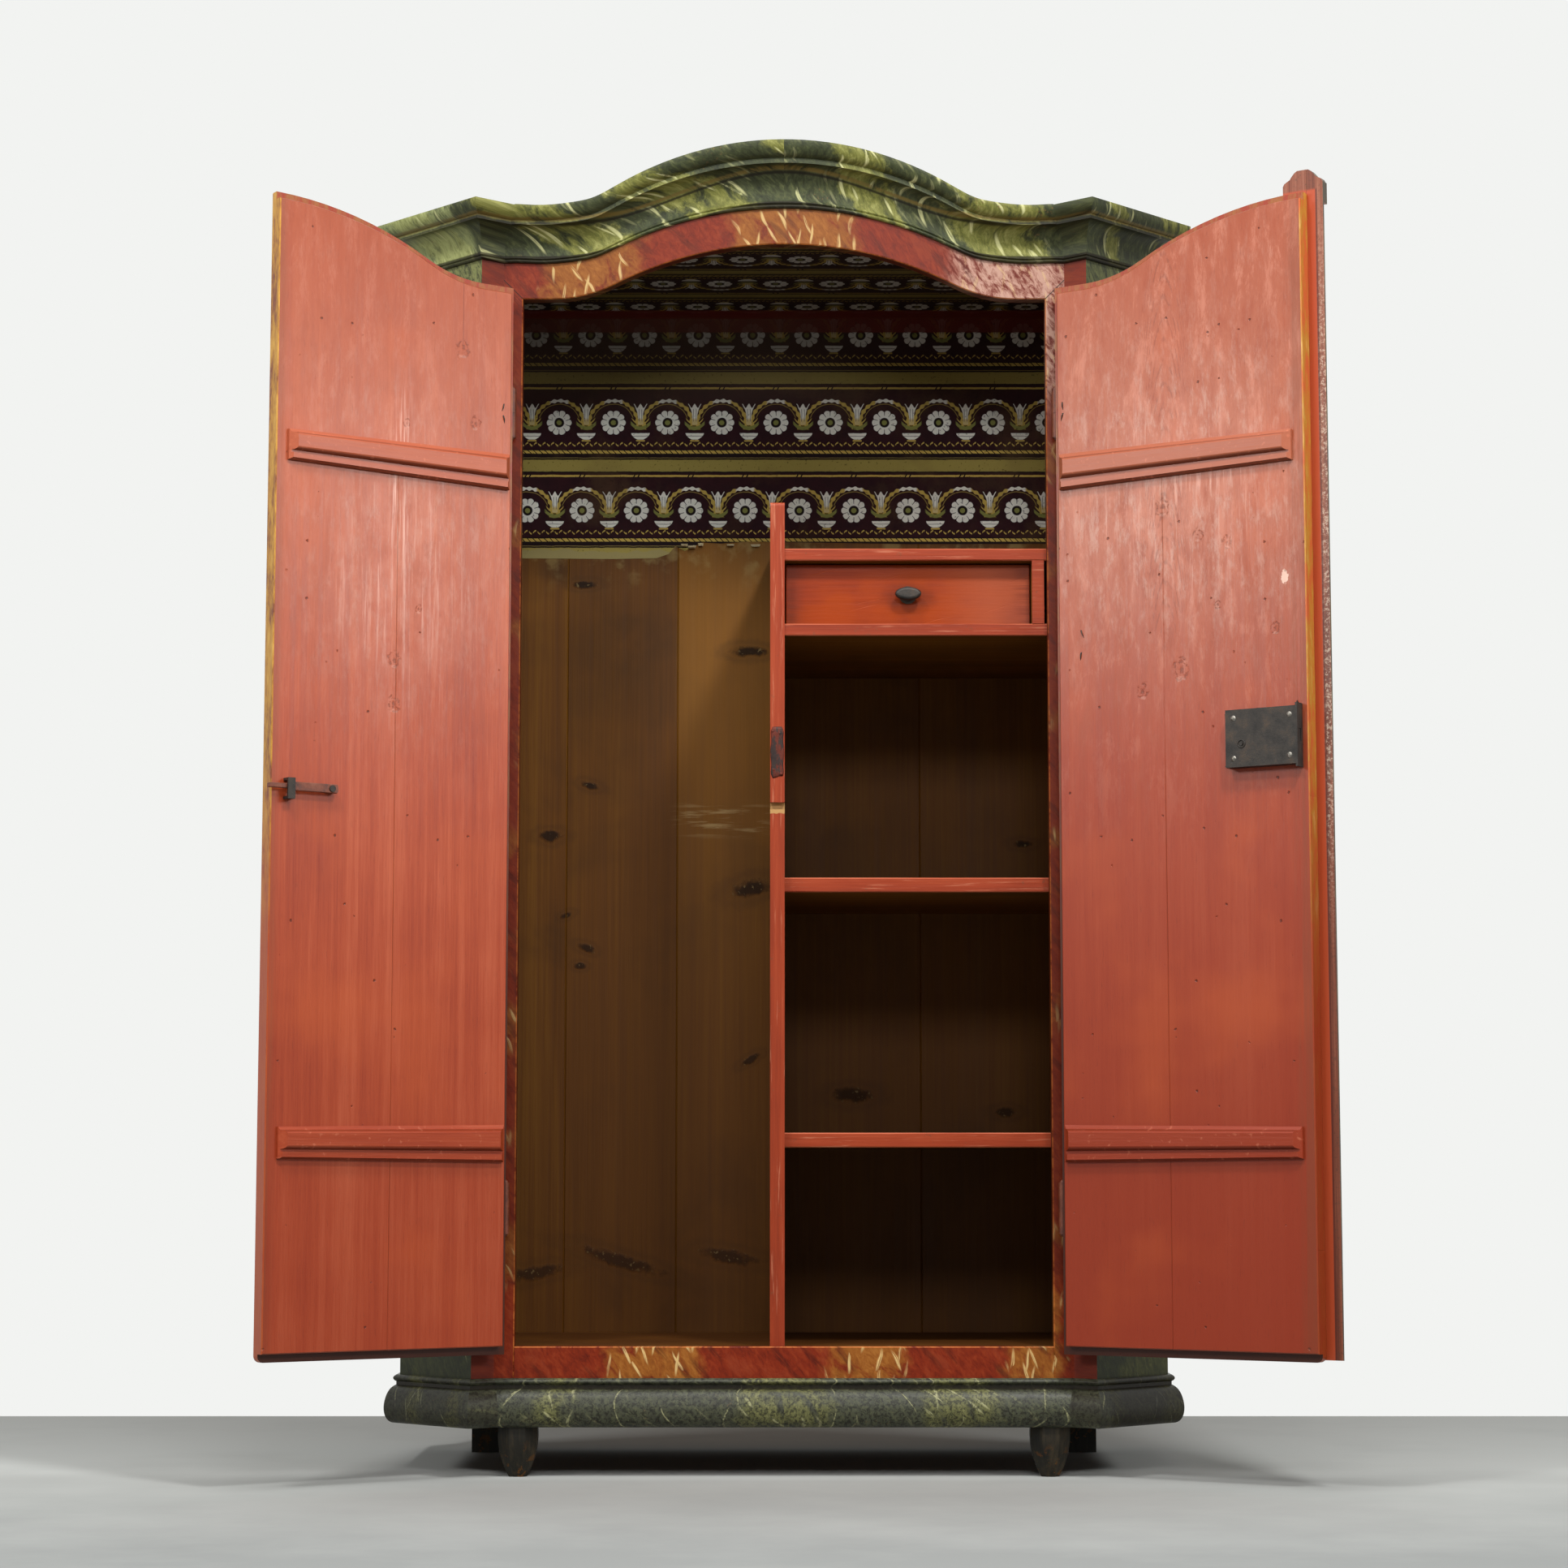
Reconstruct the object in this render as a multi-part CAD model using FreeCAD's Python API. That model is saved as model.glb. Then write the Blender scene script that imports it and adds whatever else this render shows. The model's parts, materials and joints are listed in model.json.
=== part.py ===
import FreeCAD, Part
import math
import os

V = FreeCAD.Vector

# overall sizes, in millimetres; x to the right, y towards the back, z up
overall_height = 1920.0
foot_height = 70.0
base_height = 68.0
rail_height = 44.0
opening_half_width = 381.5
stile_width = 28.5
corner_width = 30.0
corner_reach = 24.0
cant_width = 112.0
carcass_depth = 478.0

# board thicknesses
side_board = 20.0
frame_board = 22.0
floor_board = 18.0
back_board = 18.0
back_board_joint_shares = (0.1907, 0.3482, 0.6932)
shelf_board = 21.0
partition_board = 21.0
drawer_case_board = 17.5
paper_sheet = 0.8
edge_chamfer = 1.5
edge_round = 2.0

# door opening: flat at the ends, rising in two arcs to the crown
arch_rise = 82.5
arch_flat = 43.5
arch_lower_share = 0.577
rail_band = 53.0
rail_behind_cornice = 57.0
ceiling_gap = 4.0

# cornice section, reach from the face against height above its foot
cornice_growth_share = 0.2
cornice_height = 89.0
cornice_bead_reach = 6.4
cornice_neck = 4.2
cornice_bead_pitch = 4.6
cornice_cove_reach = 34.0
cornice_fillet_reach = 37.5
cornice_top_reach = 52.0
cornice_cove_shares = ((0.0, 0.0), (0.04, 0.3), (0.2, 0.62), (0.5, 0.87), (1.0, 1.0))
cornice_ovolo_shares = ((0.0, 0.0), (0.5, 0.16), (0.87, 0.5), (1.0, 0.86))
cornice_cove_top_share = 0.655
cornice_fillet_top_share = 0.735

# base moulding section, reach from the face against height above its foot
base_reach = 22.0
base_bead_reach = 9.5
base_groove_reach = 5.0
base_torus_top_share = 0.79
base_bead_low_share = 0.86
base_under_share = 0.45
base_torus_shares = ((0.82, 0.11), (1.0, 0.36), (0.91, 0.65), (0.64, 0.88))

# feet
front_foot_width = 55.0
front_foot_tip = 25.0
front_foot_belly_share = 0.82
front_foot_belly_height_share = 0.45
front_foot_inset = 5.5
front_foot_setback = 20.0
front_foot_side_count = 8
rear_foot_width = 42.0
rear_foot_depth = 36.0
rear_foot_inset = 95.0

# inner fittings; level shares count from the opening's floor to the arch's spring
partition_right = 1.0
partition_top_share = 0.8028
partition_setback = 14.0
partition_round = 6.0
partition_housing = 6.0
shelf_setback = 30.0
lower_shelf_level_share = 0.1989
upper_shelf_level_share = 0.441
drawer_case_setback = 16.0
drawer_case_level_share = 0.673
drawer_height = 93.0
drawer_stile_inset = 21.0

# drawer
drawer_recess = 25.0
drawer_back_room = 34.0
drawer_side_board = 11.0
drawer_front_board = 18.0
drawer_bottom_board = 8.0
drawer_bottom_rise = 6.0
drawer_side_drop = 6.0
drawer_fit = 1.5
knob_stem = 4.0
knob_reach = 21.0
knob_half_width = 19.0
knob_half_height = 9.5
knob_depth = 12.0
knob_round = 4.5
knob_plate_radius = 13.0
knob_plate = 1.6

# lining paper on the upper back and under the ceiling
paper_drop = 5.0
paper_tear = 28.0
paper_tear_shares = (
    (0.0, 0.07),
    (0.25, 0.0),
    (0.31, 0.05),
    (0.328, 0.29),
    (0.338, 0.75),
    (0.352, 0.46),
    (0.378, 0.96),
    (0.406, 0.89),
    (0.444, 1.0),
    (0.69, 0.86),
    (1.0, 0.89),
)

# doors: a lip in front of the frame and an inner part filling the opening
lip_board = 12.0
door_inner_board = 12.0
lip_overlap_top = 9.0
lip_overlap_bottom = 9.5
lip_overlap_hinge = 7.0
lip_gap = 0.5
door_fit = 2.0
door_meeting = 6.0
door_corner_round = 9.0
left_door_open_angle = 145.5
right_door_open_angle = 147.2

# battens across the inner faces, tapered towards the free edge
batten_hinge_height = 52.0
batten_free_height = 43.0
batten_depth = 14.0
batten_lip = 5.0
batten_groove = 7.0
batten_bead = 9.5
batten_level_shares = (0.1883, 0.8233)
batten_hinge_margin = 5.0
batten_free_margin = 17.0
batten_return = 10.0
batten_fillet_share = 0.1
batten_round_shares = (0.2, 0.4, 0.58)
batten_groove_share = 0.7
batten_bead_share = 0.78
batten_low_share = 0.94

# knuckle hinges
hinge_inset = 13.5
hinge_forward = 13.0
hinge_level_shares = (0.1282, 0.8854)
knuckle_radius = 6.0
knuckle_length = 36.0
hinge_pin_radius = 3.0
running_fit = 0.06
knuckle_gap = 0.4
leaf_sheet = 2.5
leaf_height = 30.0
frame_leaf_depth = 16.0
door_leaf_depth = 26.0
finial_radius = 4.0

# lift latch on the left door
latch_level_share = 0.5088
latch_pivot_inset = 88.0
latch_block = 7.0
latch_block_width = 13.0
latch_block_height = 11.0
latch_bar_height = 12.5
latch_bar_sheet = 4.0
latch_tail = 9.0
latch_nose_height = 7.0
latch_nose_reach = 9.0
latch_nose_taper = 34.0
latch_pin_radius = 3.0
latch_head_radius = 4.6
latch_head = 1.4
latch_edge_round = 1.2
latch_drop_angle = 5.0
latch_gap = 0.35
guide_inset = 19.0
guide_width = 11.0
guide_wall = 3.5
guide_low_room = 2.0
guide_high_room = 1.5
notch_room = 1.6
notch_low_room = 2.6
notch_back_room = 1.2

# box lock on the right door
lock_width = 108.0
lock_height = 80.0
lock_depth = 18.0
lock_sheet = 2.2
lock_level_share = 0.555
lock_left = 3.5
forend_sheet = 3.0
forend_rise = 4.0
bolt_height = 17.0
bolt_thick = 8.0
bolt_length = 74.0
bolt_throw = 12.0
bolt_standoff = 6.0
bolt_inset = 0.8
bolt_fit = 0.35
bolt_guide_width = 9.0
bolt_guide_wall = 3.0
bolt_guide_insets = (14.0, 46.0)
key_pin_inset = 84.0
key_pin_drop = 8.0
key_pin_radius = 2.5
key_pin_end = 3.0
keyhole_radius = 6.0
keyhole_slot = 5.0
keyhole_length = 16.0
lock_tab_length = 9.0
lock_tab_width = 8.0
rivet_radius = 4.0
rivet_rise = 1.8
rivet_inset = 12.0
mortise_room = 1.5
mortise_end_room = 5.3

# cover strip on the outer face of the right door
strip_overhang = 24.0
strip_width = 42.0
strip_depth = 12.0
strip_crown_share = 0.7
strip_base_share = 0.35
strip_bottom_margin = 3.0
strip_relief = 0.5
cap_width = 60.0
cap_depth = 15.0
cap_rise = 44.0
cap_height = 50.0
cap_setback = 3.0
cap_roof = 20.0
cap_roof_shares = ((1.0, 0.0), (0.93, 0.2), (0.63, 0.45), (0.6, 0.55), (0.43, 0.85), (0.28, 1.0))

# length by which every cutting solid overruns the piece
overrun = 5.0
right_angle = 90.0
line_point_count = 2
edge_tolerance = 0.01

# plan sizes that follow from the ones above
break_half_width = opening_half_width + stile_width
corner_half_width = break_half_width + corner_width
carcass_half_width = corner_half_width + cant_width
cant_end = cant_width - corner_reach
inner_back = carcass_depth - back_board
partition_left = partition_right - partition_board
hinge_offset = opening_half_width + hinge_inset
front_foot_offset = opening_half_width - front_foot_inset
rear_foot_offset = carcass_half_width - rear_foot_inset
lip_front = -lip_gap - lip_board
drawer_face = drawer_case_setback + drawer_recess
drawer_length = inner_back - drawer_face - drawer_back_room
drawer_stile_left = opening_half_width - drawer_stile_inset

# heights that follow from the ones above
base_top = foot_height + base_height
opening_floor = base_top + rail_height
floor_top = opening_floor - door_fit
arch_spring = overall_height - cornice_height - rail_band - arch_rise
opening_height = arch_spring - opening_floor
ceiling_height = arch_spring + arch_rise + ceiling_gap
side_top = ceiling_height + floor_board
partition_top = opening_floor + partition_top_share * opening_height
paper_bottom = partition_top - paper_drop
lower_shelf_top = opening_floor + lower_shelf_level_share * opening_height
upper_shelf_top = opening_floor + upper_shelf_level_share * opening_height
drawer_case_bottom = opening_floor + drawer_case_level_share * opening_height
drawer_floor = drawer_case_bottom + drawer_case_board
drawer_ceiling = drawer_floor + drawer_height
batten_levels = [opening_floor + s * opening_height for s in batten_level_shares]
hinge_levels = [opening_floor + s * opening_height for s in hinge_level_shares]
latch_level = opening_floor + latch_level_share * opening_height
lock_level = opening_floor + lock_level_share * opening_height
cap_top = arch_spring + arch_rise + cap_rise

# arcs of the arch: they meet at arch_turn with one tangent
arch_run = opening_half_width - arch_flat
arch_lower_radius = arch_run * arch_lower_share
arch_angle = 2 * math.atan(arch_rise / arch_run)
arch_upper_radius = arch_run / math.sin(arch_angle) - arch_lower_radius
arch_turn = arch_run - arch_lower_radius * math.sin(arch_angle)

# room for the latch to drop and the bolt to be thrown
latch_sink = math.sin(math.radians(latch_drop_angle))
guide_drop = (latch_pivot_inset - guide_inset) * latch_sink + guide_low_room
notch_drop = (latch_pivot_inset + latch_nose_reach) * latch_sink + notch_low_room
mortise_depth = bolt_throw - (lock_left + bolt_inset - partition_right) + mortise_end_room


def box(x0, x1, y0, y1, z0, z1):
    return Part.makeBox(x1 - x0, y1 - y0, z1 - z0, V(x0, y0, z0))


def prism(points, z0, z1):
    wire = Part.makePolygon([V(x, y, z0) for x, y in points + points[:1]])
    return Part.Face(wire).extrude(V(0, 0, z1 - z0))


def rod(radius, start, axis, length):
    return Part.makeCylinder(radius, length, start, axis)


def mirrored(shape):
    return shape.mirror(V(0, 0, 0), V(1, 0, 0))


# edges lying in the upright plane y, longer than the given length
def face_edges(shape, y, length):
    found = []
    for edge in shape.Edges:
        size = edge.BoundBox
        flat = abs(size.YMin - y) < edge_tolerance and abs(size.YMax - y) < edge_tolerance
        if flat and edge.Length > length:
            found.append(edge)
    return found


# height of the door opening at x, raised by lift
def arch_z(x, lift):
    far = min(abs(x), arch_run)
    if far >= arch_turn:
        drop = arch_lower_radius**2 - (arch_run - far) ** 2
        rise = arch_lower_radius - math.sqrt(drop)
    else:
        drop = arch_upper_radius**2 - far**2
        rise = arch_rise - arch_upper_radius + math.sqrt(drop)
    return arch_spring + rise + lift


# edges of the opening curve between two values of x, in the plane y
def arch_edges(x0, x1, lift, y):
    breaks = (-arch_run, -arch_turn, 0, arch_turn, arch_run)
    stops = [x0] + [b for b in breaks if x0 < b < x1] + [x1]
    edges = []
    for a, b in zip(stops, stops[1:]):
        mid = (a + b) / 2
        start, end = V(a, y, arch_z(a, lift)), V(b, y, arch_z(b, lift))
        if abs(mid) > arch_run:
            edges.append(Part.makeLine(start, end))
        else:
            edges.append(Part.Arc(start, V(mid, y, arch_z(mid, lift)), end).toShape())
    return edges


def closed_face(edges):
    return Part.Face(Part.Wire(Part.__sortEdges__(edges)))


# board standing upright with the arch as its top edge
def arched_board(x0, x1, y0, y1, bottom, lift):
    low_left, low_right = V(x0, y0, bottom), V(x1, y0, bottom)
    edges = arch_edges(x0, x1, lift, y0)
    edges.append(Part.makeLine(V(x1, y0, arch_z(x1, lift)), low_right))
    edges.append(Part.makeLine(low_right, low_left))
    edges.append(Part.makeLine(low_left, V(x0, y0, arch_z(x0, lift))))
    return closed_face(edges).extrude(V(0, y1 - y0, 0))


# plan of the carcass face with the mitre direction at each corner
def plan_path():
    right = [
        (break_half_width, 0),
        (corner_half_width, -corner_reach),
        (carcass_half_width, cant_end),
        (carcass_half_width, carcass_depth),
    ]
    points = [(-x, y) for x, y in reversed(right)] + right
    normals = []
    for (ax, ay), (bx, by) in zip(points, points[1:]):
        length = math.hypot(bx - ax, by - ay)
        normals.append(((by - ay) / length, (ax - bx) / length))
    mitres = [normals[0]]
    for (ax, ay), (bx, by) in zip(normals, normals[1:]):
        share = 1 + ax * bx + ay * by
        mitres.append(((ax + bx) / share, (ay + by) / share))
    mitres.append(normals[-1])
    return points, mitres


# closed section through points already placed in space; long runs become curves
def section(runs):
    edges = []
    for run in runs:
        if len(run) == line_point_count:
            edges.append(Part.makeLine(run[0], run[1]))
        else:
            curve = Part.BSplineCurve()
            curve.interpolate(run)
            edges.append(curve.toShape())
    return Part.Wire(edges)


def close_runs(runs):
    return runs + [[runs[-1][-1], runs[0][0]]]


def cornice_runs():
    height = cornice_height / (1 + cornice_growth_share)
    bead, pitch = cornice_bead_reach, cornice_bead_pitch
    neck = cornice_neck
    first = [(neck, 0), (bead, pitch / 2), (neck, pitch)]
    second = [(neck, pitch), (bead, pitch + pitch / 2), (neck, 2 * pitch)]
    low, high = 2 * pitch, height * cornice_cove_top_share
    reach = cornice_cove_reach - neck
    cove = [(neck + a * reach, low + b * (high - low)) for a, b in cornice_cove_shares]
    ledge = height * cornice_fillet_top_share
    fillet = cornice_fillet_reach
    spread = cornice_top_reach - fillet
    ovolo = [(fillet + a * spread, ledge + b * (height - ledge)) for a, b in cornice_ovolo_shares]
    return [
        [(0, 0), first[0]],
        first,
        second,
        cove,
        [cove[-1], (fillet, high)],
        [(fillet, high), (fillet, ledge)],
        ovolo,
        [ovolo[-1], (cornice_top_reach, height)],
        [(cornice_top_reach, height), (0, height)],
    ]


def base_runs():
    shoulder = base_height * base_torus_top_share
    groove = base_groove_reach
    bead_low = base_height * base_bead_low_share
    bead = base_bead_reach
    under = base_reach * base_under_share
    torus = [(base_reach * a, shoulder * b) for a, b in base_torus_shares]
    torus = [(under, 0)] + torus + [(groove, shoulder)]
    round_bead = [(groove, bead_low), (bead, (bead_low + base_height) / 2), (groove, base_height)]
    return [
        [(0, 0), (under, 0)],
        torus,
        [(groove, shoulder), (groove, bead_low)],
        round_bead,
        [(groove, base_height), (0, base_height)],
    ]


# moulding run along the plan from corner to corner
def moulding(runs, corners, foot):
    points, mitres = plan_path()
    wires = []
    for k in corners:
        (px, py), (mx, my) = points[k], mitres[k]
        placed = [[V(px + d * mx, py + d * my, foot + h) for d, h in run] for run in runs]
        wires.append(section(close_runs(placed)))
    return Part.makeLoft(wires, True, True)


# front of the cornice: the section climbs with the arch and grows towards the crown
def cornice_front(runs, first, last):
    points, mitres = plan_path()
    flat = (break_half_width + arch_run) / 2
    steps = [-arch_run, -arch_run + (arch_run - arch_turn) / 2, -arch_turn]
    steps += [-arch_turn * s / len(runs) for s in range(len(runs) - 1, 0, -1)]
    stations = [-flat] + steps + [0] + [-s for s in reversed(steps)] + [flat]
    wires = []
    for x in [None] + stations + [None]:
        end = first if not wires else last
        placed = []
        for run in runs:
            line = []
            for d, h in run:
                here = points[end][0] + d * mitres[end][0] if x is None else x
                climb = arch_z(here, 0) - arch_spring
                grow = 1 + cornice_growth_share * climb / arch_rise
                line.append(V(here, -d, arch_spring + climb + rail_band + h * grow))
            placed.append(line)
        wires.append(section(close_runs(placed)))
    return Part.makeLoft(wires, True, False)


# inner outline of floor, ceiling and paper between the boards
def room_plan(front):
    reach = side_board * math.sqrt(2)
    inner = carcass_half_width - side_board
    start = corner_half_width + corner_reach - reach + front
    bend = inner - start + front
    right = [(start, front), (inner, bend), (inner, inner_back)]
    return right + [(-x, y) for x, y in reversed(right)]


def carcass_boards():
    made = {}
    inner = carcass_half_width - side_board
    plan = room_plan(frame_board)
    bend = plan[1][1]
    side = [
        (-carcass_half_width, cant_end),
        (-inner, bend),
        (-inner, inner_back),
        (-carcass_half_width, inner_back),
    ]
    made["side_board_left"] = prism(side, foot_height, side_top)
    post = [
        (-break_half_width, 0),
        (-corner_half_width, -corner_reach),
        (-carcass_half_width, cant_end),
        (-inner, bend),
        (-plan[0][0], frame_board),
        (-break_half_width, frame_board),
    ]
    made["corner_post_left"] = prism(post, foot_height, side_top)
    stile = [
        V(-break_half_width, 0, foot_height),
        V(-opening_half_width, 0, foot_height),
        V(-opening_half_width, 0, arch_spring),
        V(-break_half_width, 0, arch_spring + stile_width),
    ]
    stile = Part.Face(Part.makePolygon(stile + stile[:1])).extrude(V(0, frame_board, 0))
    inner_edge = [e for e in face_edges(stile, 0, rail_height) if e.BoundBox.XMin > -break_half_width]
    stile = stile.makeChamfer(edge_chamfer, inner_edge[:1])
    for level in hinge_levels:
        stile = stile.cut(frame_leaf(level))
    made["front_stile_left"] = stile
    for name in ("side_board", "corner_post", "front_stile"):
        made[name + "_right"] = mirrored(made[name + "_left"])
    rail = box(-opening_half_width, opening_half_width, 0, frame_board, foot_height, opening_floor)
    top_edge = [e for e in face_edges(rail, 0, opening_half_width) if e.BoundBox.ZMin > base_top]
    made["bottom_front_rail"] = rail.makeChamfer(edge_chamfer, top_edge)
    made["arched_top_rail"] = arched_rail()
    housing = box(
        partition_left,
        partition_right,
        frame_board - overrun,
        inner_back + overrun,
        floor_top - partition_housing,
        floor_top + overrun,
    )
    made["floor_board"] = prism(plan, floor_top - floor_board, floor_top).cut(housing)
    made["ceiling_board"] = prism(plan, ceiling_height, ceiling_height + floor_board)
    return made


def arched_rail():
    lift = rail_band + rail_behind_cornice
    edges = arch_edges(-opening_half_width, opening_half_width, 0, 0)
    edges += arch_edges(-break_half_width, break_half_width, lift, 0)
    for side in (-1, 1):
        low = V(side * opening_half_width, 0, arch_spring)
        corner = V(side * break_half_width, 0, arch_spring + stile_width)
        edges.append(Part.makeLine(low, corner))
        edges.append(Part.makeLine(corner, V(side * break_half_width, 0, arch_spring + lift)))
    rail = closed_face(edges).extrude(V(0, frame_board, 0))
    curve = [e for e in face_edges(rail, 0, 0) if on_arch(e)]
    return rail.makeChamfer(edge_chamfer, curve)


def on_arch(edge):
    point = edge.valueAt((edge.FirstParameter + edge.LastParameter) / 2)
    return abs(point.z - arch_z(point.x, 0)) < edge_tolerance


def back_boards():
    shares = (0,) + back_board_joint_shares + (1,)
    made = {}
    for n, ends in enumerate(zip(shares, shares[1:])):
        x0, x1 = [carcass_half_width * (2 * share - 1) for share in ends]
        board = box(x0, x1, inner_back, carcass_depth, foot_height, side_top)
        sides = [e for e in face_edges(board, inner_back, 0) if e.BoundBox.ZLength > opening_height]
        made["back_board_%d" % (n + 1)] = board.makeChamfer(edge_chamfer, sides)
    return made


def feet():
    made = {}
    belly = front_foot_tip + (front_foot_width - front_foot_tip) * front_foot_belly_share
    sizes = (
        (0, front_foot_tip),
        (foot_height * front_foot_belly_height_share, belly),
        (foot_height, front_foot_width),
    )
    rings = []
    count = front_foot_side_count
    for z, across in sizes:
        ring = []
        for k in range(count):
            turn = 2 * math.pi * (k + 1 / 2) / count
            reach = across / 2 / math.cos(math.pi / count)
            x = -front_foot_offset + reach * math.cos(turn)
            y = front_foot_setback + reach * math.sin(turn)
            ring.append(V(x, y, z))
        rings.append(Part.makePolygon(ring + ring[:1]))
    made["front_foot_left"] = Part.makeLoft(rings, True, False)
    made["rear_foot_left"] = box(
        -rear_foot_offset - rear_foot_width / 2,
        -rear_foot_offset + rear_foot_width / 2,
        inner_back - rear_foot_depth,
        inner_back,
        0,
        floor_top - floor_board,
    )
    for name in ("front_foot", "rear_foot"):
        made[name + "_right"] = mirrored(made[name + "_left"])
    return made


def mouldings():
    made = {}
    sides = (
        ("side_left", (0, 1)),
        ("cant_left", (1, 2, 3)),
        ("cant_right", (4, 5, 6)),
        ("side_right", (6, 7)),
    )
    cornice, base = cornice_runs(), base_runs()
    foot = arch_spring + rail_band
    for name, corners in sides:
        made["cornice_" + name] = moulding(cornice, corners, foot)
        made["base_" + name] = moulding(base, corners, foot_height)
    made["cornice_front"] = cornice_front(cornice, sides[1][1][-1], sides[2][1][0])
    made["base_front"] = moulding(base, (sides[1][1][-1], sides[2][1][0]), foot_height)
    return made


# upright housed in the floor, cut for the front rail, the latch nose and the lock bolt
def partition():
    board = box(
        partition_left,
        partition_right,
        partition_setback,
        inner_back,
        floor_top - partition_housing,
        partition_top,
    )
    edges = []
    for edge in board.Edges:
        box_of = edge.BoundBox
        if box_of.ZMin > floor_top and box_of.YMax < inner_back:
            edges.append(edge)
    board = board.makeFillet(partition_round, edges)
    rail = box(
        partition_left - overrun,
        partition_right + overrun,
        partition_setback - overrun,
        frame_board,
        floor_top - partition_housing - overrun,
        opening_floor,
    )
    bar = door_inner_board + latch_block + latch_gap
    back = bar + latch_bar_sheet + notch_back_room
    low = latch_level - latch_nose_height / 2 - notch_room
    high = latch_level + latch_nose_height / 2 + notch_room
    slot = box(
        partition_left - overrun,
        partition_right + overrun,
        partition_setback - overrun,
        back,
        low,
        high,
    )
    pocket = box(
        partition_left - overrun,
        partition_right + overrun,
        bar - latch_gap,
        back,
        low - notch_drop + notch_room,
        high,
    )
    y = door_inner_board + bolt_standoff
    mortise = box(
        partition_right - mortise_depth,
        partition_right + overrun,
        y - mortise_room,
        y + bolt_thick + mortise_room,
        lock_level - bolt_height / 2 - mortise_room,
        lock_level + bolt_height / 2 + mortise_room,
    )
    return board.cut(rail).cut(slot).cut(pocket).cut(mortise)


# board from the partition to the right-hand wall
def right_board(front, bottom, top):
    outline = [(partition_right, front)]
    if front < frame_board:
        outline += [(opening_half_width, front), (opening_half_width, frame_board)]
    outline += room_plan(max(front, frame_board))[:3]
    outline += [(partition_right, inner_back)]
    board = prism(outline, bottom, top)
    edges = face_edges(board, front, top - bottom)
    return board.makeChamfer(edge_chamfer, [e for e in edges if e.BoundBox.XLength > top - bottom])


def inner_fittings():
    made = {"partition": partition()}
    made["lower_shelf"] = right_board(shelf_setback, lower_shelf_top - shelf_board, lower_shelf_top)
    made["upper_shelf"] = right_board(shelf_setback, upper_shelf_top - shelf_board, upper_shelf_top)
    front = drawer_case_setback
    made["drawer_case_top"] = right_board(front, drawer_ceiling, drawer_ceiling + drawer_case_board)
    made["drawer_case_bottom"] = right_board(front, drawer_case_bottom, drawer_floor)
    made["drawer_case_stile"] = box(
        drawer_stile_left,
        drawer_stile_left + drawer_case_board,
        drawer_case_setback,
        inner_back,
        drawer_floor,
        drawer_ceiling,
    )
    return made


def lining():
    width = carcass_half_width - side_board
    top = ceiling_height
    face = inner_back - paper_sheet
    sheet = [V(-width, face, top), V(width, face, top)]
    for along, share in reversed(paper_tear_shares):
        sheet.append(V(width * (2 * along - 1), face, paper_bottom + paper_tear * share))
    back = Part.Face(Part.makePolygon(sheet + sheet[:1])).extrude(V(0, paper_sheet, 0))
    plan = room_plan(frame_board)
    plan[2] = (width, inner_back - paper_sheet)
    plan[3] = (-width, inner_back - paper_sheet)
    roof = prism(plan, ceiling_height - paper_sheet, ceiling_height)
    return {"wallpaper_back": back, "wallpaper_ceiling": roof}


# hinge halves for the left side; the frame half carries the pin
def frame_leaf(level):
    low = level - knuckle_gap - leaf_height
    return box(
        -hinge_offset - leaf_sheet / 2,
        -hinge_offset + leaf_sheet / 2,
        -hinge_forward,
        frame_leaf_depth,
        low,
        low + leaf_height,
    )


def door_leaf(level):
    low = level + knuckle_gap
    return box(
        -hinge_offset,
        -hinge_offset + door_leaf_depth,
        -hinge_forward + knuckle_radius / 2,
        -hinge_forward + knuckle_radius / 2 + leaf_sheet,
        low,
        low + leaf_height,
    )


def frame_hinges():
    up = V(0, 0, 1)
    halves = []
    for level in hinge_levels:
        foot = V(-hinge_offset, -hinge_forward, level - knuckle_length)
        half = rod(knuckle_radius, foot, up, knuckle_length)
        half = half.fuse(frame_leaf(level))
        half = half.fuse(rod(hinge_pin_radius, foot, up, 2 * knuckle_length - finial_radius))
        half = half.fuse(Part.makeSphere(finial_radius, foot))
        halves.append(half.removeSplitter())
    return Part.makeCompound(halves)


def door_hinges():
    up = V(0, 0, 1)
    halves = []
    for level in hinge_levels:
        foot = V(-hinge_offset, -hinge_forward, level + knuckle_gap)
        half = rod(knuckle_radius, foot, up, knuckle_length)
        half = half.fuse(door_leaf(level))
        half = half.fuse(Part.makeSphere(finial_radius, foot + up * knuckle_length))
        half = half.cut(rod(hinge_pin_radius + running_fit, foot, up, knuckle_length - knuckle_gap))
        halves.append(half.removeSplitter())
    return Part.makeCompound(halves)


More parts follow.
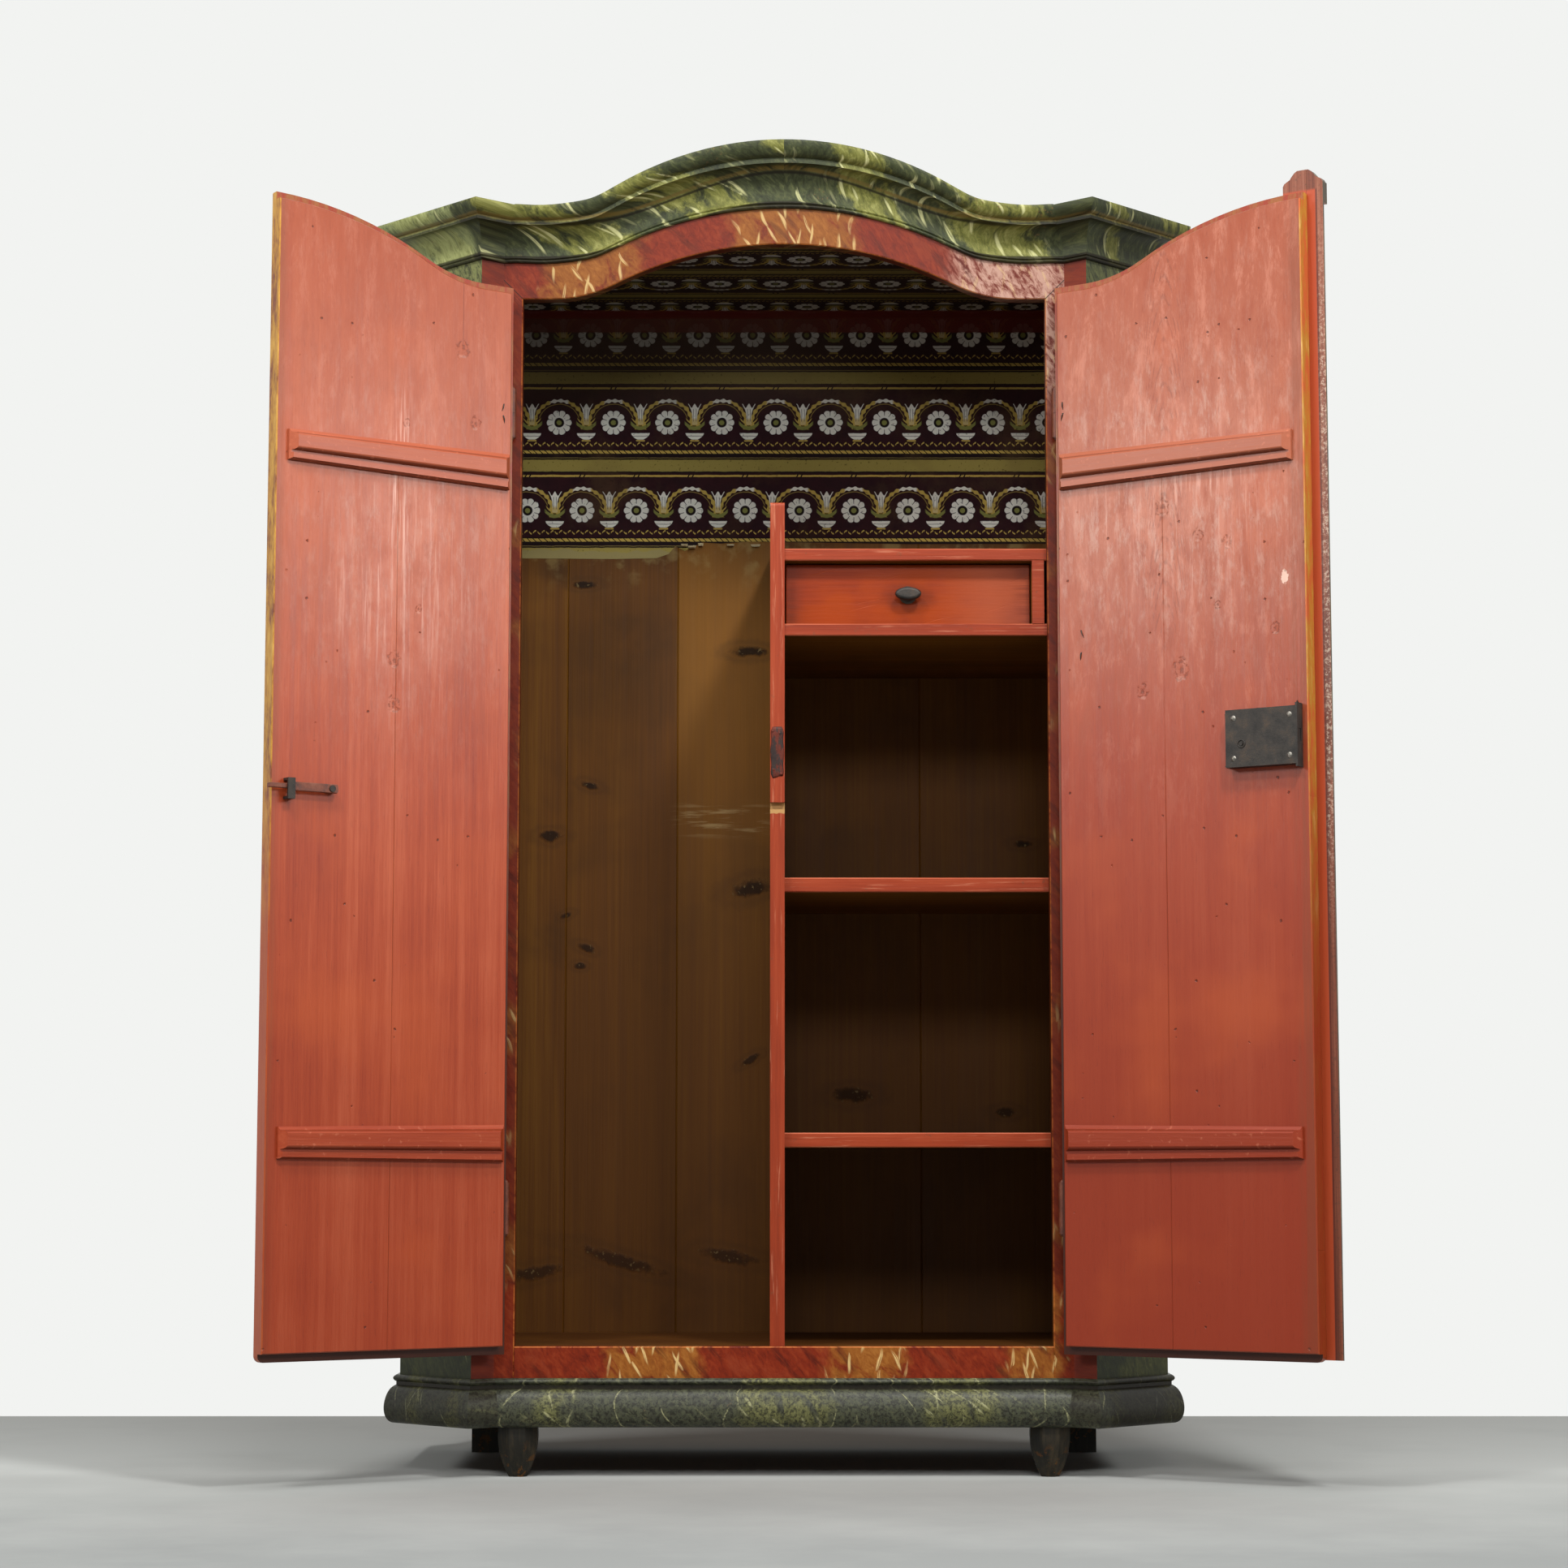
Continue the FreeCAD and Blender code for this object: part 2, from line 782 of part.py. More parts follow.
# door board with its lip, seen shut; free is the x of the edge in the middle
def door_panel(hinge_x, free):
    side = 1 if hinge_x > 0 else -1
    lip_hinge = side * (opening_half_width + lip_overlap_hinge)
    inner_hinge = side * (opening_half_width - door_fit)
    low = opening_floor - lip_overlap_bottom
    x0, x1 = sorted((lip_hinge, free))
    lip = arched_board(x0, x1, lip_front, -lip_gap, low, lip_overlap_top)
    corner = [e for e in lip.Edges if is_free_corner(e, free, low)]
    lip = lip.makeFillet(door_corner_round, corner)
    outer = [e for e in face_edges(lip, lip_front, 0) if abs(e.BoundBox.Center.x - free) > edge_tolerance]
    lip = lip.makeFillet(edge_round, [e for e in outer if e.BoundBox.ZMin > low + door_corner_round])
    x0, x1 = sorted((inner_hinge, free))
    inner_low = opening_floor + door_fit
    inner = arched_board(x0, x1, -lip_gap, door_inner_board, inner_low, -door_fit)
    inner = inner.makeChamfer(edge_chamfer, face_edges(inner, door_inner_board, 0))
    return lip.fuse(inner).removeSplitter()


def is_free_corner(edge, x, z):
    size = edge.BoundBox
    centre = size.Center
    return abs(centre.x - x) < lip_gap and abs(centre.z - z) < lip_gap and size.YLength > size.ZLength


# moulded batten; the ends return along the same section
def batten(hinge_x, free_x, level):
    low, high = sorted((hinge_x, free_x))

    def place(x, height):
        def at(share, depth):
            return V(x, door_inner_board + depth, level + height * (1 / 2 - share))

        fillet = batten_fillet_share
        rounds = [at(fillet, batten_groove)]
        rounds += [at(s, batten_depth) for s in batten_round_shares]
        rounds += [at(batten_groove_share, batten_groove)]
        return section(
            close_runs(
                [
                    [at(0, 0), at(0, batten_lip)],
                    [at(0, batten_lip), at(fillet, batten_groove)],
                    rounds,
                    [rounds[-1], at(batten_bead_share, batten_groove)],
                    [at(batten_bead_share, batten_groove), at(batten_bead_share, batten_bead)],
                    [at(batten_bead_share, batten_bead), at(batten_low_share, batten_bead)],
                    [at(batten_low_share, batten_bead), at(1, batten_lip)],
                    [at(1, batten_lip), at(1, 0)],
                ]
            )
        )

    wires = [place(hinge_x, batten_hinge_height), place(free_x, batten_free_height)]
    bar = Part.makeLoft(wires, True, True)
    bottom = level - batten_hinge_height
    ends = [
        (low, 0),
        (low, batten_lip),
        (low + batten_return, batten_depth),
        (high - batten_return, batten_depth),
        (high, batten_lip),
        (high, 0),
    ]
    ends = [(x, door_inner_board + y) for x, y in ends]
    return bar.common(prism(ends, bottom, level + batten_hinge_height))


def left_door():
    free = -door_meeting - door_fit / 2
    panel = door_panel(-hinge_offset, free)
    hinges = door_hinges()
    for level in hinge_levels:
        panel = panel.cut(door_leaf(level))
    made = {"left_door_panel": panel, "left_door_hinges": hinges}
    hinge_x = -opening_half_width + door_fit + batten_hinge_margin
    for name, level in zip(("lower", "upper"), batten_levels):
        made["left_door_%s_batten" % name] = batten(hinge_x, free - batten_free_margin, level)
    made.update(latch(free))
    return made


def latch(free):
    made = {}
    pivot = free - latch_pivot_inset
    face = door_inner_board
    bar_y = face + latch_block + latch_gap
    out = V(0, 1, 0)
    block = box(
        pivot - latch_block_width / 2,
        pivot + latch_block_width / 2,
        face,
        face + latch_block,
        latch_level - latch_block_height / 2,
        latch_level + latch_block_height / 2,
    )
    head_y = bar_y + latch_bar_sheet + latch_gap
    foot = V(pivot, face, latch_level)
    block = block.fuse(rod(latch_pin_radius, foot, out, head_y - face + latch_head))
    block = block.fuse(rod(latch_head_radius, V(pivot, head_y, latch_level), out, latch_head))
    made["left_latch_pivot"] = block.removeSplitter()
    half, nose = latch_bar_height / 2, latch_nose_height / 2
    tip = free + latch_nose_reach
    outline = [
        (pivot - latch_tail, -nose),
        (pivot - latch_tail + nose / 2, -half),
        (tip - latch_nose_taper, -half),
        (tip - latch_nose_taper + nose, -nose),
        (tip, -nose),
        (tip, nose / 2),
        (tip - nose, nose),
        (tip - latch_nose_taper + nose, nose),
        (tip - latch_nose_taper, half),
        (pivot - latch_tail + nose / 2, half),
        (pivot - latch_tail, nose),
    ]
    outline = [V(x, bar_y, latch_level + z) for x, z in outline]
    bar = Part.Face(Part.makePolygon(outline + outline[:1])).extrude(out * latch_bar_sheet)
    hole = rod(latch_pin_radius + running_fit, foot, out, head_y - face + overrun)
    long_edges = face_edges(bar, bar_y + latch_bar_sheet, latch_nose_height)
    bar = bar.makeFillet(latch_edge_round, long_edges)
    made["left_latch_bar"] = bar.cut(hole)
    right = free - guide_inset
    low = latch_level - half - guide_drop
    high = latch_level + half + guide_high_room
    front = bar_y + latch_bar_sheet + latch_gap
    left, back = right - guide_width, front + guide_wall
    guide = box(left, right, face, back, low - guide_wall, high + guide_wall)
    hollow = box(left - overrun, right + overrun, face - overrun, front, low, high)
    made["left_latch_guide"] = guide.cut(hollow)
    return made


def right_door():
    free = -door_meeting + door_fit / 2
    panel = door_panel(hinge_offset, free)
    hinges = mirrored(door_hinges())
    for level in hinge_levels:
        panel = panel.cut(mirrored(door_leaf(level)))
    panel = panel.cut(keyhole())
    made = {"right_door_panel": panel, "right_door_hinges": hinges}
    hinge_x = opening_half_width - door_fit - batten_hinge_margin
    for name, level in zip(("lower", "upper"), batten_levels):
        made["right_door_%s_batten" % name] = batten(hinge_x, free + batten_free_margin, level)
    made.update(lock())
    made.update(cover_strip(free))
    return made


def keyhole():
    x = lock_left + key_pin_inset
    z = lock_level - key_pin_drop
    start = V(x, lip_front - overrun, z)
    length = lip_board + door_inner_board + 2 * overrun
    hole = rod(keyhole_radius, start, V(0, 1, 0), length)
    half = keyhole_slot / 2
    slot = box(x - half, x + half, start.y, start.y + length, z - keyhole_length, z)
    return hole.fuse(slot)


def lock():
    made = {}
    face = door_inner_board
    out = V(0, 1, 0)
    right = lock_left + lock_width
    low, high = lock_level - lock_height / 2, lock_level + lock_height / 2
    case = box(lock_left, right, face, face + lock_depth, low, high)
    hollow = box(
        lock_left + forend_sheet,
        right - lock_sheet,
        face - overrun,
        face + lock_depth - lock_sheet,
        low + lock_sheet,
        high - lock_sheet,
    )
    case = case.cut(hollow)
    forend = box(
        lock_left,
        lock_left + forend_sheet,
        face,
        face + lock_depth,
        low - forend_rise,
        high + forend_rise,
    )
    bolt_y = face + bolt_standoff
    z0, z1 = lock_level - bolt_height / 2, lock_level + bolt_height / 2
    mouth = box(
        lock_left - overrun,
        lock_left + forend_sheet + overrun,
        bolt_y - bolt_fit,
        bolt_y + bolt_thick + bolt_fit,
        z0 - bolt_fit,
        z1 + bolt_fit,
    )
    start = lock_left + bolt_inset
    bolt = box(start, start + bolt_length, bolt_y, bolt_y + bolt_thick, z0, z1)
    made["lock_bolt"] = bolt
    guides = []
    for inset in bolt_guide_insets:
        x = lock_left + inset
        g = box(
            x,
            x + bolt_guide_width,
            face,
            face + lock_depth - lock_sheet,
            z0 - bolt_fit - bolt_guide_wall,
            z1 + bolt_fit + bolt_guide_wall,
        )
        hole = box(
            x - overrun,
            x + bolt_guide_width + overrun,
            bolt_y - bolt_fit,
            bolt_y + bolt_thick + bolt_fit,
            z0 - bolt_fit,
            z1 + bolt_fit,
        )
        guides.append(g.cut(hole))
    made["lock_bolt_guides"] = Part.makeCompound(guides)
    top = face + lock_depth
    pin_z = lock_level - key_pin_drop
    pin_foot = top - lock_sheet / 2
    pin = rod(key_pin_radius, V(lock_left + key_pin_inset, pin_foot, pin_z), out, key_pin_end)
    half = lock_tab_width / 2
    tabs = (
        (right, high - half, lock_tab_length),
        (right, low + half, lock_tab_length),
        (lock_left + forend_sheet + half, high, 0),
    )
    for x, z, reach in tabs:
        tip = V(x + reach, face, z) if reach else V(x, face, z + lock_tab_length)
        across = V(0, 0, half) if reach else V(half, 0, 0)
        foot = V(x, face, z)
        corners = [foot - across, tip, foot + across, foot - across]
        case = case.fuse(Part.Face(Part.makePolygon(corners)).extrude(out * lock_sheet))
    made["lock_case"] = case.fuse(forend).fuse(pin).removeSplitter().cut(mouth)
    rivets = []
    for x in (lock_left + rivet_inset, right - rivet_inset):
        for z in (low + rivet_inset, high - rivet_inset):
            dome = (rivet_radius**2 + rivet_rise**2) / (2 * rivet_rise)
            ball = Part.makeSphere(dome, V(x, top + rivet_rise - dome, z))
            cap = rod(rivet_radius, V(x, top, z), out, rivet_rise)
            rivets.append(ball.common(cap))
    made["lock_rivets"] = Part.makeCompound(rivets)
    return made


def cover_strip(free):
    made = {}
    face = lip_front
    left = free - strip_overhang
    low = opening_floor - lip_overlap_bottom + strip_bottom_margin
    cap_low = cap_top - cap_height
    base = strip_depth * strip_base_share
    crown = strip_depth * strip_crown_share
    middle = left + strip_width / 2

    def at(x, depth):
        return V(x, face - depth, low)

    bow = [
        at(left + base, base),
        at(left + base + base, crown),
        at(middle, strip_depth),
        at(left + strip_width - base - base, crown),
        at(left + strip_width - base, base),
    ]
    outline = section(
        close_runs(
            [
                [at(left, 0), at(left, base)],
                [at(left, base), bow[0]],
                bow,
                [bow[-1], at(left + strip_width, base)],
                [at(left + strip_width, base), at(left + strip_width, 0)],
            ]
        )
    )
    relief = box(
        middle - cap_width,
        free + strip_relief,
        face - strip_relief,
        face + overrun,
        low - overrun,
        cap_top + overrun,
    )
    strip = Part.Face(outline).extrude(V(0, 0, cap_low - low))
    made["cover_strip"] = strip.cut(relief)
    base_tier = box(left, left + cap_width, face - cap_depth, face, cap_low, cap_top - cap_roof)
    middle = left + cap_width / 2
    ridge = [(share * cap_width / 2, rise * cap_roof) for share, rise in cap_roof_shares]
    ridge = [(middle - x, z) for x, z in ridge] + [(middle + x, z) for x, z in reversed(ridge)]
    ridge = [V(x, face, cap_top - cap_roof + z) for x, z in ridge]
    roof = Part.Face(Part.makePolygon(ridge + ridge[:1])).extrude(V(0, cap_setback - cap_depth, 0))
    made["cover_strip_capital"] = base_tier.fuse(roof).removeSplitter().cut(relief)
    return made


def drawer():
    made = {}
    left = partition_right + drawer_fit
    right = drawer_stile_left - drawer_fit
    low = drawer_floor
    high = drawer_ceiling - drawer_fit
    front, back = drawer_face, drawer_face + drawer_length
    body = front + drawer_front_board
    side_top_z = high - drawer_side_drop
    face = box(left, right, front, body, low, high)
    made["drawer_front"] = face.makeFillet(edge_round, face_edges(face, front, 0))
    made["drawer_side_left"] = box(left, left + drawer_side_board, body, back, low, side_top_z)
    made["drawer_side_right"] = box(right - drawer_side_board, right, body, back, low, side_top_z)
    inner_left, inner_right = left + drawer_side_board, right - drawer_side_board
    made["drawer_back"] = box(inner_left, inner_right, back - drawer_side_board, back, low, side_top_z)
    made["drawer_bottom"] = box(
        inner_left,
        inner_right,
        body,
        back - drawer_side_board,
        low + drawer_bottom_rise,
        low + drawer_bottom_rise + drawer_bottom_board,
    )
    made["drawer_knob"] = knob((left + right) / 2, front, (low + high) / 2)
    return made


# oval iron knob on a round plate
def knob(x, y, z):
    out = V(0, -1, 0)
    plate = rod(knob_plate_radius, V(x, y, z), out, knob_plate)
    stem = rod(knob_stem, V(x, y, z), out, knob_reach - knob_depth / 2)
    oval = Part.Ellipse(V(0, 0, 0), knob_half_width, knob_half_height)
    head = Part.Face(Part.Wire(oval.toShape())).extrude(V(0, 0, knob_depth))
    head = head.makeFillet(knob_round, [e for e in head.Edges if e.isClosed()])
    head.rotate(V(0, 0, 0), V(1, 0, 0), right_angle)
    head.translate(V(x, y - knob_reach + knob_depth, z))
    return plate.fuse(stem).fuse(head).removeSplitter()


def build():
    parts = {}
    parts.update(carcass_boards())
    parts.update(back_boards())
    parts.update(feet())
    parts.update(mouldings())
    parts.update(inner_fittings())
    parts.update(lining())
    left_hinges = frame_hinges()
    parts["frame_hinges"] = Part.makeCompound(left_hinges.Solids + mirrored(left_hinges).Solids)
    parts.update(drawer())
    up = V(0, 0, 1)
    doors = ((left_door(), -1, -left_door_open_angle), (right_door(), 1, right_door_open_angle))
    for made, side, turn in doors:
        for name, shape in made.items():
            shape.rotate(V(side * hinge_offset, -hinge_forward, 0), up, turn)
            parts[name] = shape
    return parts


# the origin is set on the floor under the middle of the whole, doors open
def main():
    os.makedirs("parts", exist_ok=True)
    parts = build()
    whole = FreeCAD.BoundBox()
    for shape in parts.values():
        whole.add(shape.BoundBox)
    shift = V(-(whole.XMin + whole.XMax) / 2, -(whole.YMin + whole.YMax) / 2, 0)
    for name, shape in parts.items():
        shape.translate(shift)
        shape.exportStep("parts/" + name + ".step")
        print(name, len(shape.Solids), shape.isValid(), round(shape.Volume))
    print("shift", shift, "box", whole)


main()
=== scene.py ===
import json
import math

import bmesh
import bpy
from mathutils import Matrix, Vector


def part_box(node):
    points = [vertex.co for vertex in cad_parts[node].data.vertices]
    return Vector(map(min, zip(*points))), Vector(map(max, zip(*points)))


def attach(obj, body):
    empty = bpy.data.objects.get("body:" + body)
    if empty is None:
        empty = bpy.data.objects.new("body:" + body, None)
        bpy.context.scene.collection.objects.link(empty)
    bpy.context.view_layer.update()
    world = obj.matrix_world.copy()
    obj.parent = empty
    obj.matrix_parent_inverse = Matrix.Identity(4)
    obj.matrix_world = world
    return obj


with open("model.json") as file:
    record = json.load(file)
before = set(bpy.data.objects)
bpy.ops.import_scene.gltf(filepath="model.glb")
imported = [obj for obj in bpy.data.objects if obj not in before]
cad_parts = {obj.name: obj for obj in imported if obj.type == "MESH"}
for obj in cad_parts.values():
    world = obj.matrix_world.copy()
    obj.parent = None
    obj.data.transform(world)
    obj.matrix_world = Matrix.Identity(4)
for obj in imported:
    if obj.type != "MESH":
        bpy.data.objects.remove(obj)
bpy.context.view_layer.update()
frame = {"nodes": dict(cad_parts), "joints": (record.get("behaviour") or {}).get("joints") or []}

nodes = frame["nodes"]
joints = {j["name"]: j for j in frame["joints"]}
middle = (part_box("side_board_left")[0].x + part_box("side_board_right")[1].x) / 2
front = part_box("bottom_front_rail")[0].y  # plane of the front frame
arch = {"run": 0.338, "halfRise": 0.04125, "openHalf": 0.3815, "spring": 1.6955}  # of the opening
print("frame loaded,", len(nodes), "pieces")

camera = {"lens": 78.9, "sensor": 36, "away": 4.916, "height": 0.4358, "tilt": 6.341}


def placeCamera():
    data = bpy.data.cameras.new("frontCamera")
    data.lens = camera["lens"]
    data.sensor_width = camera["sensor"]
    data.clip_end = 60
    view = bpy.data.objects.new("frontCamera", data)
    view.location = (middle, front - camera["away"], camera["height"])
    view.rotation_euler = (math.radians(90 + camera["tilt"]), 0, 0)
    bpy.context.scene.collection.objects.link(view)
    bpy.context.scene.camera = view


placeCamera()


def tone(red, green, blue):  # screen colour, 0 to 255, to the linear colour nodes want
    out = []
    for part in (red, green, blue):
        part /= 255
        out.append(part / 12.92 if part < 0.04045 else ((part + 0.055) / 1.055) ** 2.4)
    return (*out, 1)


class Field:  # a node's output, so that sums and products can be written as such
    def __init__(self, fin, socket):
        self.fin = fin
        self.socket = socket

    def __add__(self, other):
        return self.fin.calc("ADD", self, other)

    def __radd__(self, other):
        return self.fin.calc("ADD", other, self)

    def __sub__(self, other):
        return self.fin.calc("SUBTRACT", self, other)

    def __rsub__(self, other):
        return self.fin.calc("SUBTRACT", other, self)

    def __mul__(self, other):
        return self.fin.calc("MULTIPLY", self, other)

    def __abs__(self):
        return self.fin.calc("ABSOLUTE", self)


class Finish:  # one material and short words for its nodes
    def __init__(self, name, gloss=0.3, tones=None):
        self.material = bpy.data.materials.new(name)
        self.material.use_nodes = True
        self.tree = self.material.node_tree
        self.shader = self.tree.nodes["Principled BSDF"]
        self.shader.inputs["Specular IOR Level"].default_value = gloss
        self.tones = tones
        self.colour = None
        coords = self.add("TexCoord")
        self.normal = coords.outputs["Normal"]
        self.place = self.vector("SUBTRACT", coords.outputs["Object"], (middle, front, 0))

    def feed(self, node, key, value):  # link an output, or set a plain value
        value = getattr(value, "socket", value)
        if isinstance(value, bpy.types.NodeSocket):
            self.tree.links.new(value, node.inputs[key])
        else:
            node.inputs[key].default_value = value

    def add(self, kind, inputs=None, **settings):
        node = self.tree.nodes.new("ShaderNode" + kind)
        for key, value in settings.items():
            setattr(node, key, value)
        for key, value in (inputs or {}).items():
            self.feed(node, key, value)
        return node

    def calc(self, how, *values):
        node = self.add("Math", dict(enumerate(values)), operation=how)
        return Field(self, node.outputs[0])

    def most(self, *values):
        result = values[0]
        for value in values[1:]:
            result = self.calc("MAXIMUM", result, value)
        return result

    def vector(self, how, first, second):
        return self.add("VectorMath", {0: first, 1: second}, operation=how).outputs[0]

    def length(self, vector):
        node = self.add("VectorMath", {0: vector}, operation="LENGTH")
        return Field(self, node.outputs["Value"])

    def split(self, vector):
        return [Field(self, part) for part in self.add("SeparateXYZ", {0: vector}).outputs]

    def join(self, x, y, z):
        return self.add("CombineXYZ", {0: x, 1: y, 2: z}).outputs[0]

    def turn(self, vector, angle, centre=(0, 0, 0)):
        inputs = {"Vector": vector, "Center": centre, "Angle": angle}
        return self.add("VectorRotate", inputs, rotation_type="Z_AXIS").outputs[0]

    def noise(self, place, scale, detail=3.0, rough=0.55, warp=0.0):
        inputs = {"Scale": scale, "Detail": detail, "Roughness": rough, "Distortion": warp}
        inputs["Vector"] = place
        return Field(self, self.add("TexNoise", inputs).outputs[0])

    def streaks(self, place, stretch, detail=4.0, rough=0.6, warp=0.0):
        return self.noise(self.vector("MULTIPLY", place, stretch), 1.0, detail, rough, warp)

    def soft(self, value, low, high):  # 0 below low, 1 above high, or the other way round
        inputs = {"Value": value, "From Min": low, "From Max": high}
        if low > high:
            inputs.update({"From Min": high, "From Max": low, "To Min": 1.0, "To Max": 0.0})
        return Field(self, self.add("MapRange", inputs, interpolation_type="SMOOTHSTEP").outputs[0])

    def within(self, value, low, high, edge):  # 1 between low and high
        return self.soft(value, low - edge, low + edge) * self.soft(value, high + edge, high - edge)

    def spans(self, value, places, edge):  # 1 inside any of the (middle, half width) places
        parts = [self.within(value, at - half, at + half, edge) for at, half in places]
        return self.most(*parts)

    def spot(self, flat, across, up, wide, tall):  # distance from a point, 1 at the edge of its oval
        gap = self.vector("SUBTRACT", flat, (across, 0, up))
        gap = self.vector("MULTIPLY", gap, (1 / wide, 0, 1 / tall))
        return self.length(gap)

    def dashes(self, across, up, lean, cell, half, share, bend=0.0):  # brush strokes, one to a cell
        flat = self.turn(self.join(across, up, 0.0), lean)
        p, q, _ = self.split(flat)
        if bend:
            p = p + (self.noise(flat, 0.7 / cell[1], 1.0) - 0.5) * bend
        grid = self.join(p * (1 / cell[0]), q * (1 / cell[1]), 0.0)
        marks = self.add("TexVoronoi", {"Vector": grid, "Scale": 1.0}, voronoi_dimensions="2D")
        away = self.vector("SUBTRACT", grid, marks.outputs["Position"])
        away = self.vector("MULTIPLY", away, (cell[0] / half[0], cell[1] / half[1], 0.0))
        pick = self.soft(self.split(marks.outputs["Color"])[0], 1 - share, 1.01 - share)
        dry = self.noise(self.join(p * 600.0, q * 35.0, 0.0), 1.0, 2.0)
        return self.soft(self.length(away), 1.0, 0.4) * pick * self.soft(dry, 0.3, 0.52)

    def mix(self, share, first, second):
        return self.add("Mix", {0: share, 6: first, 7: second}, data_type="RGBA").outputs[2]

    def lay(self, share, coat):  # a further coat over the colour so far, one of its tones or another
        coat = self.tones[coat] if isinstance(coat, str) else coat
        self.colour = self.mix(share, self.colour, coat)

    def ramp(self, share, stops):
        node = self.add("ValToRGB", {0: share})
        for spot, colour in stops[1:-1]:
            node.color_ramp.elements.new(spot).color = colour
        ends = node.color_ramp.elements
        ends[0].position, ends[0].color = stops[0]
        ends[-1].position, ends[-1].color = stops[-1]
        return node.outputs[0]

    def done(self, rough, height, depth, strength=0.6):
        bump = self.add("Bump", {"Height": height, "Distance": depth, "Strength": strength})
        self.feed(self.shader, "Base Color", self.colour)
        self.feed(self.shader, "Roughness", rough)
        self.feed(self.shader, "Normal", bump.outputs[0])
        return self.material


# bare softwood: long grain, a few knots, stains; its tone darkens with age
pineTones = {
    "pale": tone(134, 90, 26),
    "body": tone(104, 62, 12),
    "deep": tone(72, 39, 6),
    "knot": tone(22, 12, 5),
    "stain": tone(68, 41, 9),
    "dust": tone(74, 60, 44),
    "litGolden": tone(160, 108, 36),
    "paleBand": tone(186, 160, 110),
    "glue": tone(170, 150, 92),
    "glint": tone(150, 128, 84),
    "fresh": tone(176, 134, 82),
}


def pineColour(fin, place, along):
    fine, broad = [190.0] * 3, [15.0] * 3
    fine[along], broad[along] = 3.0, 0.8
    lines = fin.streaks(place, fine, 3.0, 0.65)
    figure = fin.streaks(place, broad, 5.0, 0.6, 0.5)
    cloud = fin.noise(place, 3.4, 4.0, 0.6, 0.4)
    stops = [(0.24, pineTones["deep"]), (0.5, pineTones["body"]), (0.78, pineTones["pale"])]
    share = figure * 0.6 + lines * 0.4
    colour = fin.ramp(share, stops)
    colour = fin.mix(fin.soft(cloud, 0.5, 0.72) * 0.8, colour, pineTones["stain"])
    height = lines * 0.6 + figure * 0.4
    return colour, height


def knotted(fin, height):  # dark knots with ragged ends and a few pale glints
    wobble = (fin.noise(fin.place, 60.0, 4.0, 0.7) - 0.5) * 1.4
    x, _, z = fin.split(fin.place)
    dark, halo = 0.0, 0.0
    for at, level, size, stretch, lean in backKnots:
        leaning = fin.join(x, 0.0, z + (x - at) * lean)
        reach = fin.spot(leaning, at, level, size * stretch, size * 0.8) + wobble
        dark = fin.most(fin.soft(reach, 1.0, 0.4), dark)
        halo = fin.most(fin.within(reach, 1.0, 1.7, 0.4), halo)
    fin.lay(halo * 0.3, "stain")
    fin.lay(dark * 0.9, "knot")
    glint = dark * fin.soft(fin.noise(fin.place, 170.0, 2.0), 0.62, 0.68)
    fin.lay(glint * 0.6, "glint")
    return height + dark * 0.5


# red paint, brushed along the boards; doors have a lighter coat than the boards inside
doorTones = {
    "deep": tone(138, 48, 24), "body": tone(163, 67, 35), "light": tone(184, 90, 57),
    "chalkAndSheen": tone(226, 178, 160), "ochre": tone(176, 124, 44), "dentAndShade": tone(80, 30, 18),
    "brown": tone(116, 58, 34), "orange": tone(186, 90, 46), "olive": tone(88, 76, 44),
    "faded": tone(168, 104, 76), "hazeAndSheen": tone(204, 136, 112), "brickAndShade": tone(142, 62, 32),
    "blotchAndSheen": tone(190, 152, 136), "chip": tone(222, 186, 166), "warm": tone(184, 84, 40),
    "rubbed": tone(140, 92, 44), "shadow": tone(66, 28, 14), "honey": tone(206, 160, 74),
    "straw": tone(196, 150, 84), "arris": tone(204, 120, 90),
}
stripTones = {
    "coat": [(0.34, tone(92, 44, 28)), (0.5, tone(122, 66, 45)), (0.66, tone(142, 90, 68))],
    "bleached": tone(184, 160, 140), "fleck": tone(206, 190, 168), "soil": tone(66, 44, 30),
    "edge": tone(58, 46, 30),
}
innerTones = {
    "deep": tone(116, 38, 14), "body": tone(143, 52, 22), "light": tone(162, 68, 35),
    "rub": tone(206, 134, 102), "arris": tone(196, 108, 76), "warm": tone(154, 58, 8),
    "darkEnds": tone(104, 44, 30),
}


def redPaint(fin, place, along, tones):
    brush, board, relief = [130.0] * 3, [20.0] * 3, [330.0] * 3
    brush[along], board[along], relief[along] = 2.4, 0.9, 22.0
    fibre = [560.0] * 3
    fibre[along] = 16.0
    fibres = fin.streaks(place, fibre, 2.0, 0.6)
    hairs = fin.streaks(place, brush, 3.0, 0.7)
    boards = fin.streaks(place, board, 4.0, 0.6, 0.3)
    cloud = fin.noise(place, 5.0, 3.0, 0.6)
    share = boards * 0.4 + hairs * 0.26 + cloud * 0.2
    share = share + fibres * 0.14
    stops = [(0.36, tones["deep"]), (0.5, tones["body"]), (0.64, tones["light"])]
    colour = fin.ramp(share, stops)
    ridges = fin.streaks(place, relief, 2.0, 0.6)
    height = hairs * 0.35 + boards * 0.3 + ridges * 0.35
    return colour, height, hairs, boards


